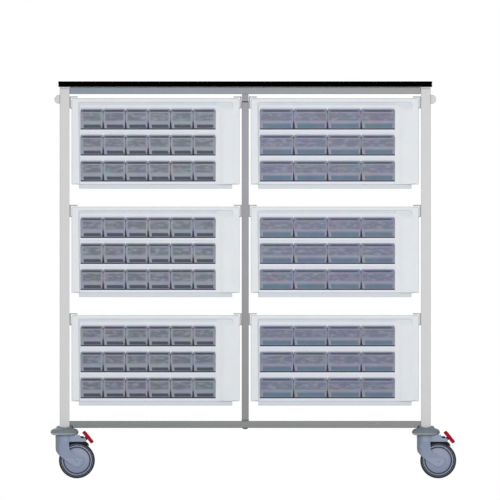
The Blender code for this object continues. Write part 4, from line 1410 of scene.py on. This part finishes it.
def casing_pieces():
    meshes = {"flange": flange_mesh(), "shell": casing_shell_mesh()}
    for side in SIDES:
        meshes["front"] = casing_front_mesh(BIN_COUNTS[side])
        for level in LEVELS:
            name = f"{side}_{level}_casing"
            low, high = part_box(name)
            spot = ((low.x + high.x) / 2, low.y, high.z)
            for part, mesh in meshes.items():
                body = f"{side}_{level}_module"
                add_piece(f"{name}_{part}", mesh, None, body, [name], spot)


# Bins


def bin_plan(half):
    """Points around a bin as (x, share of the depth), with more of them where its front has detail."""
    left = [*BIN_SIDE_STEPS, BAND_INSET_LEFT - BAND_STEP, BAND_INSET_LEFT + BAND_STEP]
    right = [*BIN_SIDE_STEPS, BAND_INSET_RIGHT - BAND_STEP, BAND_INSET_RIGHT + BAND_STEP]
    front = [step - half for step in left]
    front += [-half / 3, 0.0, half / 3]
    front += [half - step for step in reversed(right)]
    back = (half - BIN_BACK_CORNER, half / 2, 0.0, -half / 2, BIN_BACK_CORNER - half)
    plan = [(x, 0.0) for x in front]
    plan += [(half, share) for share in BIN_DEPTH_SHARES]
    plan += [(x, 1.0) for x in back]
    plan += [(-half, share) for share in reversed(BIN_DEPTH_SHARES)]
    return plan


def bin_rim(x, share, half):
    """The height of a bin's rim: full at the front, cut at its corners, falling along its sides."""
    if share == 0.0:
        lack = BIN_CORNER - min(half - abs(x), BIN_CORNER)
        return BIN_HEIGHT - BIN_CORNER + math.sqrt(BIN_CORNER**2 - lack**2)
    if share < BIN_RIM_TURN:
        return (BIN_HEIGHT - BIN_CORNER + BIN_SIDE_RIM) / 2
    return BIN_SIDE_RIM + (BIN_BACK_RIM - BIN_SIDE_RIM) * share


def side_pinch(height, foot_pinch):
    """How far a bin's side draws in: a wedge at its foot and a little at its top."""
    below = max(1 - height / FOOT_PINCH_HEIGHT, 0.0)
    return foot_pinch * math.sqrt(below) + TOP_PINCH * smooth_share(height, TOP_PINCH_LOW, BIN_HEIGHT)


def bin_front(height):
    """The depth of a bin's leaning front at a height."""
    return BIN_FRONT - BIN_LEAN * height / BIN_HEIGHT


def in_band(x, height, half, band_high):
    """Whether a place on a bin's front lies in its recessed band."""
    return BAND_LOW < height < band_high and BAND_INSET_LEFT - half < x < half - BAND_INSET_RIGHT


def bin_point(x, share, height, half, pinches, band_high, inset, detail):
    """A point of a bin's wall, on its outer face or set in by the wall's thickness."""
    width = half - side_pinch(height, pinches[0 if x < 0 else 1]) - inset
    front = bin_front(height) + inset
    back = BIN_FLOOR_BACK + (BIN_TOP_BACK - BIN_FLOOR_BACK) * height / BIN_BACK_RIM - inset
    y = front + (back - front) * share
    if detail and share == 0.0:
        from_side = half - abs(x)
        y += max(BIN_CHAMFER - height, 0.0)
        y += BIN_ROUNDING_DEPTH * max(1 - from_side / BIN_ROUNDING, 0.0) ** 2
        if from_side >= BIN_CORNER:
            y -= LIP_PROUD * smooth_share(height, LIP_LOW - LIP_STEP, LIP_LOW)
        if in_band(x, height, half, band_high):
            y += BAND_DEPTH
    return Vector((x / half * width, y, height + BIN_LOW))


def bin_rings(half, pinches, band_high):
    """Rings of points up a bin's outside, then down its inside to its floor."""
    plan = bin_plan(half)
    heights = [*BIN_PLAIN_HEIGHTS, BIN_CHAMFER, FOOT_HEIGHT, FOOT_PINCH_HEIGHT, TOP_PINCH_LOW]
    heights += [edge + step for edge in (BAND_LOW, band_high) for step in (-BAND_STEP, BAND_STEP)]
    heights += [LIP_LOW - LIP_STEP, LIP_LOW, LIP_HIGH, BIN_HEIGHT]
    layers = [(height / BIN_HEIGHT, 0.0, True) for height in sorted(heights)]
    layers += [(level, BIN_WALL, False) for level in BIN_INNER_LEVELS]
    rings = []
    for level, inset, detail in layers:
        ring = []
        for x, share in plan:
            height = level * bin_rim(x, share, half)
            ring.append(bin_point(x, share, height, half, pinches, band_high, inset, detail))
        rings.append(ring)
    floor = (BIN_WALL, half, pinches, band_high, BIN_WALL, False)
    rings.append([bin_point(x, share, *floor) for x, share in plan])
    return rings


def bin_mesh(half, pinches, side):
    """One open bin as a closed shell, with a lip, a recessed band and a chamfered foot."""
    band_high = BAND_HIGH[side]
    bm = bmesh.new()
    sheet = bm.loops.layers.uv.new("UVMap")
    loops = [[bm.verts.new(point) for point in ring] for ring in bin_rings(half, pinches, band_high)]
    for low, high in zip(loops, loops[1:]):
        for corners in zip(low, low[1:] + low[:1], high[1:] + high[:1], high):
            bm.faces.new(corners)
    bm.faces.new(list(reversed(loops[0])))
    bm.faces.new(loops[-1])
    for face in bm.faces:
        middle = face.calc_center_median()
        height = middle.z - BIN_LOW
        in_front = middle.y < bin_front(height) + BIN_FRONT_LAYER
        if in_front and LIP_LOW < height < LIP_HIGH:
            face.material_index = 1
        elif in_front and height < FOOT_HEIGHT:
            face.material_index = 2
        elif in_front and in_band(middle.x, height, half, band_high):
            face.material_index = 3
        for loop in face.loops:
            place = loop.vert.co
            loop[sheet].uv = ((place.x + half) / (2 * half), (place.z - BIN_LOW) / BIN_HEIGHT)
    mesh = to_mesh(bm, BIN_SHARP_ANGLE)
    for finish in BIN_FINISHES[side]:
        mesh.materials.append(finish)
    return mesh


def gap_rib_mesh():
    """A thin rib that closes the gap between two bins, a little behind their fronts. Its dark slate is
    painted shade of the deep gap.
    """
    reach = BIN_GAP / 2 - GAP_RIB_CLEARANCE
    right = [(reach + side_pinch(z, FOOT_PINCH_LEFT), z + BIN_LOW) for z in GAP_RIB_HEIGHTS]
    left = [(-reach - side_pinch(z, FOOT_PINCH_RIGHT), z + BIN_LOW) for z in reversed(GAP_RIB_HEIGHTS)]
    return plate([right + left], GAP_RIB_FRONT, GAP_RIB_BACK, "XZ")


def row_mesh(count, side):
    """A row of single bins, the dark ribs between them and a pivot pin at each end."""
    pitch = ROW_WIDTH / count
    parts = []
    for index in range(count):
        pinches = (FOOT_PINCH_LEFT if index else 0.0, FOOT_PINCH_RIGHT if index < count - 1 else 0.0)
        one = bin_mesh((pitch - BIN_GAP) / 2, pinches, side)
        parts.append((moved(one, ((index + 0.5) * pitch - ROW_WIDTH / 2, 0, 0)), None))
        # Ribs whose dark slate is painted shade of the gaps between bins
        if index:
            parts.append((moved(gap_rib_mesh(), (index * pitch - ROW_WIDTH / 2, 0, 0)), GAP_SHADE_SLATE))
    for sign in SIDES.values():
        span = sorted((sign * PIN_START, sign * PIN_END))
        parts.append((rod(PIN_RADIUS, *span, "X", steps=PIN_STEPS), BOLT_STEEL))
    return joined(*parts)


def bin_pieces():
    for side, count in BIN_COUNTS.items():
        mesh = row_mesh(count, side)
        for level in LEVELS:
            for row in range(BIN_ROWS):
                name = f"{side}_{level}_bin_row_{row + 1}"
                spot = JOINT_SPOTS[f"{name}_tilt"]
                add_piece(f"{name}_bins", mesh, None, f"{name}_tilt", [name], spot)


# Casters


def bumper_mesh():
    """A bumper ring: flat foot, a rim band of painted light, a cone and a collar that rises at two sides of
    the post.
    """
    inner = COLLAR_RADIUS - COLLAR_WALL
    profile = [
        (0.0, BUMPER_FOOT),
        (0.0365, BUMPER_FOOT),
        (0.0420, BUMPER_FOOT + 0.0012),
        (0.0472, BUMPER_FOOT + 0.0042),
        (0.0494, BUMPER_FOOT + BUMPER_BAND),
        (BUMPER_RADIUS, BUMPER_WAIST),
        (0.0492, BUMPER_WAIST + 0.0045),
        (0.0468, BUMPER_WAIST + 0.0085),
        (0.0425, BUMPER_WAIST + 0.0116),
        (0.0375, BUMPER_WAIST + 0.0132),
        (0.0325, BUMPER_SEAT - 0.0004),
        (COLLAR_RADIUS, BUMPER_SEAT + 0.0020),
        (COLLAR_RADIUS - 0.0010, BUMPER_SEAT + 0.7 * COLLAR_RISE),
        (COLLAR_RADIUS - 0.0022, BUMPER_SEAT + COLLAR_RISE),
        (inner + 0.0008, BUMPER_SEAT + COLLAR_RISE),
        (inner, BUMPER_SEAT + 0.8 * COLLAR_RISE),
        (inner, BUMPER_SEAT),
        (0.0, BUMPER_SEAT),
    ]
    mesh = lathe(profile, steps=BUMPER_STEPS)
    for vert in mesh.vertices:
        rise = vert.co.z - BUMPER_SEAT
        reach = math.hypot(vert.co.x, vert.co.y)
        if rise > SEAT_GAP:
            vert.co.z = BUMPER_SEAT + rise * (COLLAR_DIP + (1 - COLLAR_DIP) * (vert.co.x / reach) ** 2)
        if rise > -SEAT_GAP and reach > SEAT_GAP:
            squared = COLLAR_SQUARE * reach / max(abs(vert.co.x), abs(vert.co.y))
            share = smooth_share(reach, COLLAR_RADIUS, inner)
            vert.co.xy *= 1 + share * (squared / inner - 1)
    mesh.materials.append(BUMPER_RUBBER)
    # The paler rim band is painted light on the bumper's outward-facing foot
    return painted(mesh, BUMPER_LIT_RIM, lambda face: face.center.z < BUMPER_FOOT + BUMPER_BAND)


def housing_mesh(axle):
    """The moulded swivel housing: round neck, arm over the wheel, two legs to the axle, all edges soft."""
    outline = [
        (-0.0333, HOUSING_TOP),
        (-0.0333, 0.112),
        (-0.0302, 0.096),
        (-0.0212, 0.0835),
        (0.003, 0.0635),
        *arc(axle, LEG_FOOT_RADIUS, *LEG_FOOT_ARC),
        (0.046, 0.0770),
        (0.028, 0.0880),
        (0.0172, 0.103),
        (LEG_RIGHT, ARM_UNDERSIDE),
        (0.0765, ARM_UNDERSIDE),
        (0.0785, 0.1355),
        (0.0765, 0.1432),
        (0.0590, 0.1440),
        (0.0560, 0.1478),
        (0.0535, 0.1562),
        (0.0450, 0.1556),
        (0.0400, HOUSING_TOP),
    ]
    half_angle = math.degrees(math.asin(HOUSING_HALF / NECK_RADIUS))
    plan = arc((0.0, 0.0), NECK_RADIUS, 180.0 - half_angle, 180.0 + half_angle, NECK_STEPS)
    plan += [(BEYOND_HOUSING, -HOUSING_HALF), (BEYOND_HOUSING, HOUSING_HALF)]
    front = [(LEG_HALF, 0.0), (LEG_HALF, LEG_THIN), (HOUSING_HALF, LEG_FULL), (HOUSING_HALF, BEYOND_TOP)]
    front += [(-across, height) for across, height in reversed(front)]
    body = plate([outline], -NECK_RADIUS, NECK_RADIUS, "XZ")
    body = combined(body, "INTERSECT", plate([plan], 0.0, BEYOND_TOP, "XY"))
    body = combined(body, "INTERSECT", plate([front], -BEYOND_LEGS, BEYOND_LEGS, "YZ"))
    taper_top = ARM_UNDERSIDE + NECK_LAP
    taper = [(0.0, NECK_FOOT), (HOUSING_HALF - NECK_STEP, NECK_FOOT)]
    taper += [(NECK_RADIUS, taper_top), (0.0, taper_top)]
    beside_wheel = rounded_box(*BESIDE_WHEEL, HOUSING_EDGE)
    taper_mesh = combined(lathe(taper), "INTERSECT", beside_wheel)
    body = combined(body, "UNION", rod(NECK_RADIUS, ARM_UNDERSIDE, HOUSING_TOP), taper_mesh)
    axle_spot = (axle[0], 0, axle[1])
    slot = rod(WHEEL_SLOT_RADIUS, -WHEEL_SLOT_HALF, WHEEL_SLOT_HALF, "Y", axle_spot, WHEEL_SLOT_STEPS)
    soft = new_object(combined(body, "DIFFERENCE", slot, rounded_box(*LUG_SLOT, HOUSING_EDGE)))
    remesh = soft.modifiers.new("remesh", "REMESH")
    remesh.mode = "VOXEL"
    remesh.voxel_size = HOUSING_VOXEL
    relax = soft.modifiers.new("relax", "SMOOTH")
    relax.factor = HOUSING_RELAX
    relax.iterations = HOUSING_RELAX_ROUNDS
    thin = soft.modifiers.new("thin", "DECIMATE")
    thin.ratio = HOUSING_KEPT
    return evaluated(soft, HOUSING_SHARP_ANGLE)


def shoe_mesh(axle):
    """The dark brake shoe under the arm: it follows the tyre with a little air and skirts its sides. Its
    near-black is painted shade under the arm.
    """
    top = ARM_UNDERSIDE + SHOE_LAP
    over = [(0.0882, 0.1166), (0.0840, 0.1258), (0.0775, top), (0.014, top)]
    shoe = arc(axle, SHOE_RADIUS, *SHOE_ARC) + over
    skirt = arc(axle, SKIRT_RADIUS, *SKIRT_ARC) + over[1:]
    return joined_in(
        SHOE_SHADE_RUBBER,
        plate([shoe], -SHOE_HALF, SHOE_HALF, "XZ"),
        plate([skirt], -SKIRT_HALF, -SHOE_HALF, "XZ"),
        plate([skirt], SHOE_HALF, SKIRT_HALF, "XZ"),
        rounded_box(*SHOE_HINGE, SHOE_HINGE_EDGE),
    )


def neck_ring_mesh(axle):
    """A dark joint ring under the bumper, a raised bead below it and the brake shoe."""
    dark = rod(NECK_RADIUS - NECK_JOINT_INSET, HOUSING_TOP - NECK_JOINT_HEIGHT, BUMPER_FOOT)
    bead = []
    for angle in range(0, 360, BEAD_TURN):
        turn = math.radians(angle)
        height = HOUSING_TOP - BEAD_DROP + BEAD_RISE * math.sin(turn)
        bead.append((NECK_RADIUS + BEAD_REACH * math.cos(turn), height))
    return joined(
        (dark, JOINT_DARK),
        (lathe(bead, closed=True), CASTER_PLASTIC),
        (shoe_mesh(axle), None),
    )


def axle_cap_mesh(axle):
    """A flat round cap over each end of the axle."""
    radius = AXLE_CAP_RADIUS
    profile = [(0.0, 0.0), (radius, 0.0), (radius, 0.0006), (radius - 0.001, 0.0012), (0.0, 0.0014)]
    caps = []
    for sign in (1, -1):
        spot = (axle[0], sign * (LEG_HALF - AXLE_CAP_SUNK), axle[1])
        caps.append(lathe([(out, sign * up) for out, up in profile], "Y", spot, AXLE_CAP_STEPS))
    return joined_in(CASTER_PLASTIC, *caps)


def hub_mesh():
    """The wheel's core: a slightly domed cover on each side, a groove painted dark as shade and a rim ring.
    """
    face = [
        (0.0, 0.0166),
        (0.026, 0.0166),
        (0.0425, 0.0153),
        (GROOVE_INNER - 0.0008, 0.0138),
        (GROOVE_INNER, GROOVE_FLOOR),
        (GROOVE_OUTER, GROOVE_FLOOR),
        (GROOVE_OUTER + 0.0004, 0.0146),
        (GROOVE_OUTER + 0.0014, 0.0153),
        (TYRE_INNER - 0.0006, 0.0150),
        (TYRE_INNER, 0.0130),
    ]
    mesh = lathe(both_sides(face), "Y")
    mesh.materials.append(WHEEL_PLASTIC)
    return painted(mesh, GROOVE_SHADE, between_radii(GROOVE_INNER - GROOVE_PAINT, GROOVE_OUTER))


def tyre_mesh(radius):
    """A smooth tyre with rounded shoulders, a raised side band painted pale as a highlight and a bead at the
    rim.
    """
    side = [
        (TYRE_INNER + 0.0002, 0.0120),
        (TYRE_INNER + 0.0004, 0.0148),
        (TYRE_INNER + 0.0020, 0.0156),
        (TYRE_BAND_INNER, WHEEL_HALF),
        (TYRE_BAND_OUTER, WHEEL_HALF),
        (TYRE_BAND_OUTER + 0.0005, 0.0153),
        (TYRE_BAND_OUTER + 0.0013, 0.0153),
        (TYRE_BAND_OUTER + 0.0018, 0.0157),
        (radius - 0.0035, 0.0142),
        (radius - 0.0012, 0.0115),
        (radius - 0.0002, 0.0070),
        (radius, 0.0035),
    ]
    mesh = lathe(both_sides(side), "Y", steps=TYRE_STEPS, closed=True)
    mesh.materials.append(TYRE_RUBBER)
    return painted(mesh, TYRE_HIGHLIGHT, between_radii(TYRE_BAND_INNER, TYRE_BAND_OUTER))


def pedal_mesh():
    """A foot bar with ribs across its tread, a dark upper end and a hinge lug, with its origin on the pin."""
    down = Vector((math.cos(PEDAL_TILT), math.sin(PEDAL_TILT)))
    out = Vector((-down.y, down.x))
    middle = Vector(PEDAL_MIDDLE)
    half_length = PEDAL_LENGTH / 2
    half_depth = PEDAL_THICKNESS / 2
    neck = PEDAL_END - half_length

    def block(start, stop, low, high):
        return [tuple(middle + down * a + out * b) for a, b in rectangle(start, low, stop, high)]

    def across(outline, inset, edge, finish):
        return plate([outline], inset - PEDAL_HALF, PEDAL_HALF - inset, "XZ", edge), finish

    bar = rounded_outline(block(neck, half_length, -half_depth, half_depth), PEDAL_CORNERS)
    end = block(-half_length, neck + PEDAL_END_LAP, -half_depth, half_depth - PEDAL_END_STEP)
    seat = out * middle.dot(out)
    lug = arc((0.0, 0.0), LUG_RADIUS, *LUG_ARC)
    lug += [tuple(seat + down * LUG_RADIUS), tuple(seat - down * LUG_RADIUS)]
    parts = [
        across(bar, 0.0, PEDAL_EDGE, PEDAL_RED),
        across(rounded_outline(end, PEDAL_END_CORNER), PEDAL_END_INSET, PEDAL_EDGE, PEDAL_DEEP),
        # The lug's near-black is partly painted shade of the notch it sits in
        (plate([lug], -LUG_HALF, LUG_HALF, "XZ", LUG_EDGE), SHOE_SHADE_RUBBER),
    ]
    for rib in range(PEDAL_RIBS):
        start = neck + PEDAL_RIB_START + rib * PEDAL_RIB_PITCH
        stop = start + PEDAL_RIB_WIDTH
        ridge = block(start, stop, half_depth - PEDAL_RIB_SUNK, half_depth + PEDAL_RIB_PROUD)
        parts.append(across(ridge, PEDAL_RIB_INSET, PEDAL_RIB_EDGE, PEDAL_RED))
    return joined(*parts)


def caster_pieces():
    axle_spot = JOINT_SPOTS["front_left_wheel_roll"]
    axle = (axle_spot.x - bumper_spot("front_left").x, axle_spot.z)
    bumper = bumper_mesh()
    housing = housing_mesh(axle)
    ring = neck_ring_mesh(axle)
    caps = axle_cap_mesh(axle)
    hub = hub_mesh()
    tyre = tyre_mesh(axle_spot.z)
    pedal = pedal_mesh()
    for corner in CORNERS:
        spot = bumper_spot(corner)
        axle_end = JOINT_SPOTS[f"{corner}_wheel_roll"]
        pin = JOINT_SPOTS[f"{corner}_brake_press"]
        swivel = f"{corner}_swivel"
        wheel = f"{corner}_wheel"
        pieces = (
            ("bumper_ring", bumper, None, "frame", "bumper_rubber", "bumper", spot),
            ("caster_shell", housing, CASTER_PLASTIC, swivel, "caster_plastic", "caster_housing", spot),
            ("neck_ring", ring, None, swivel, "caster_plastic", "caster_housing", spot),
            ("axle_caps", caps, None, swivel, "caster_plastic", "caster_housing", spot),
            ("wheel_cover", hub, None, wheel, "wheel_plastic", "wheel_hub", axle_end),
            ("wheel_tyre", tyre, None, wheel, "tyre", "tyre", axle_end),
            ("pedal_bar", pedal, None, f"{corner}_pedal", "red_plastic", "brake_pedal", pin),
        )
        for label, mesh, finish, body, slot, stands_for, place in pieces:
            add_piece(f"{corner}_{label}", mesh, finish, body, [f"{corner}_{stands_for}"], place)


# Floor, light and camera

FLOOR_HALF = 60.0
FLOOR_WHITE = srgb(250, 250, 250)
FLOOR_SHOWN = 0.80
FLOOR_FADE = (1.6, 4.2)
WORLD_LIGHT = 0.62
SHOWN_STRENGTH = 1.0
KEY_POWER = 56.0
BACK_POWER = 70.0
LAMP_WIDTH = 3.2
LAMP_HEIGHT = 1.6
KEY_SPOT = (0.4, -4.7, 0.95)
BACK_SPOT = (-1.6, 3.6, 3.0)
LAMP_AIM = (CENTRE_X, 0.0, 0.75)


def shader_mix(tree, share, first, second):
    return node(tree, "ShaderNodeMixShader", {0: share, 1: first, 2: second})[0]


def seen_directly(tree):
    """1 for what the camera sees straight, in a mirror or through glass, otherwise 0."""
    path = node(tree, "ShaderNodeLightPath")
    straight = maths(tree, "MAXIMUM", path["Is Camera Ray"], path["Is Glossy Ray"])
    return maths(tree, "MAXIMUM", straight, path["Is Transmission Ray"])


def make_world():
    world = bpy.data.worlds.new("studio")
    world.use_nodes = True
    bpy.context.scene.world = world
    tree = world.node_tree
    tree.nodes.clear()
    light = node(tree, "ShaderNodeBackground", {"Color": WHITE, "Strength": WORLD_LIGHT})[0]
    shown = node(tree, "ShaderNodeBackground", {"Color": WHITE, "Strength": SHOWN_STRENGTH})[0]
    mixed = shader_mix(tree, seen_directly(tree), light, shown)
    node(tree, "ShaderNodeOutputWorld", {"Surface": mixed})


def make_floor():
    """A pale floor that shows from above only, and fades to plain white further out."""
    bm = bmesh.new()
    bmesh.ops.create_grid(bm, x_segments=1, y_segments=1, size=FLOOR_HALF)
    floor = new_object(to_mesh(bm), "studio_floor")
    made = bpy.data.materials.new("studio_floor")
    made.use_nodes = True
    tree = made.node_tree
    tree.nodes.clear()
    paint = node(tree, "ShaderNodeBsdfDiffuse", {"Color": opaque(FLOOR_WHITE)})[0]
    shown = node(tree, "ShaderNodeEmission", {"Color": WHITE, "Strength": SHOWN_STRENGTH})[0]
    away = node(tree, "ShaderNodeVectorMath", {0: object_place(tree)}, operation="LENGTH")["Value"]
    far = ramp(tree, away, *FLOOR_FADE, "SMOOTHSTEP")
    glow = maths(tree, "MULTIPLY_ADD", far, 1 - FLOOR_SHOWN, FLOOR_SHOWN)
    share = maths(tree, "MULTIPLY", seen_directly(tree), glow)
    mixed = shader_mix(tree, share, paint, shown)
    below = node(tree, "ShaderNodeNewGeometry")["Backfacing"]
    nothing = node(tree, "ShaderNodeBsdfTransparent")[0]
    node(tree, "ShaderNodeOutputMaterial", {"Surface": shader_mix(tree, below, mixed, nothing)})
    floor.data.materials.append(made)


def make_lamp(name, spot, power):
    light = bpy.data.lights.new(name, "AREA")
    light.energy = power
    light.shape = "RECTANGLE"
    light.size = LAMP_WIDTH
    light.size_y = LAMP_HEIGHT
    lamp = new_object(light, name)
    lamp.location = spot
    lamp.rotation_euler = (Vector(LAMP_AIM) - Vector(spot)).to_track_quat("-Z", "Y").to_euler()


def make_camera():
    lens = bpy.data.cameras.new("camera")
    lens.type = "ORTHO"
    lens.ortho_scale = PICTURE_WIDTH
    camera = new_object(lens, "camera")
    camera.location = (CAMERA_X, CAD_BOX[0][1] - CAMERA_DISTANCE, CAMERA_Z)
    camera.rotation_euler = (math.pi / 2, 0, 0)
    bpy.context.scene.camera = camera


worktop_pieces()
post_pieces()
ladder_pieces("upper", "top_frame", UPPER_RAIL_METAL)
ladder_pieces("lower", "bottom_frame", LOWER_RAIL_METAL)
centre_post_pieces()
runner_pieces()
handle_pieces()
casing_pieces()
bin_pieces()
caster_pieces()
make_world()
make_floor()
make_lamp("key_lamp", KEY_SPOT, KEY_POWER)
make_lamp("back_lamp", BACK_SPOT, BACK_POWER)
make_camera()
bpy.context.scene.view_settings.view_transform = "Standard"
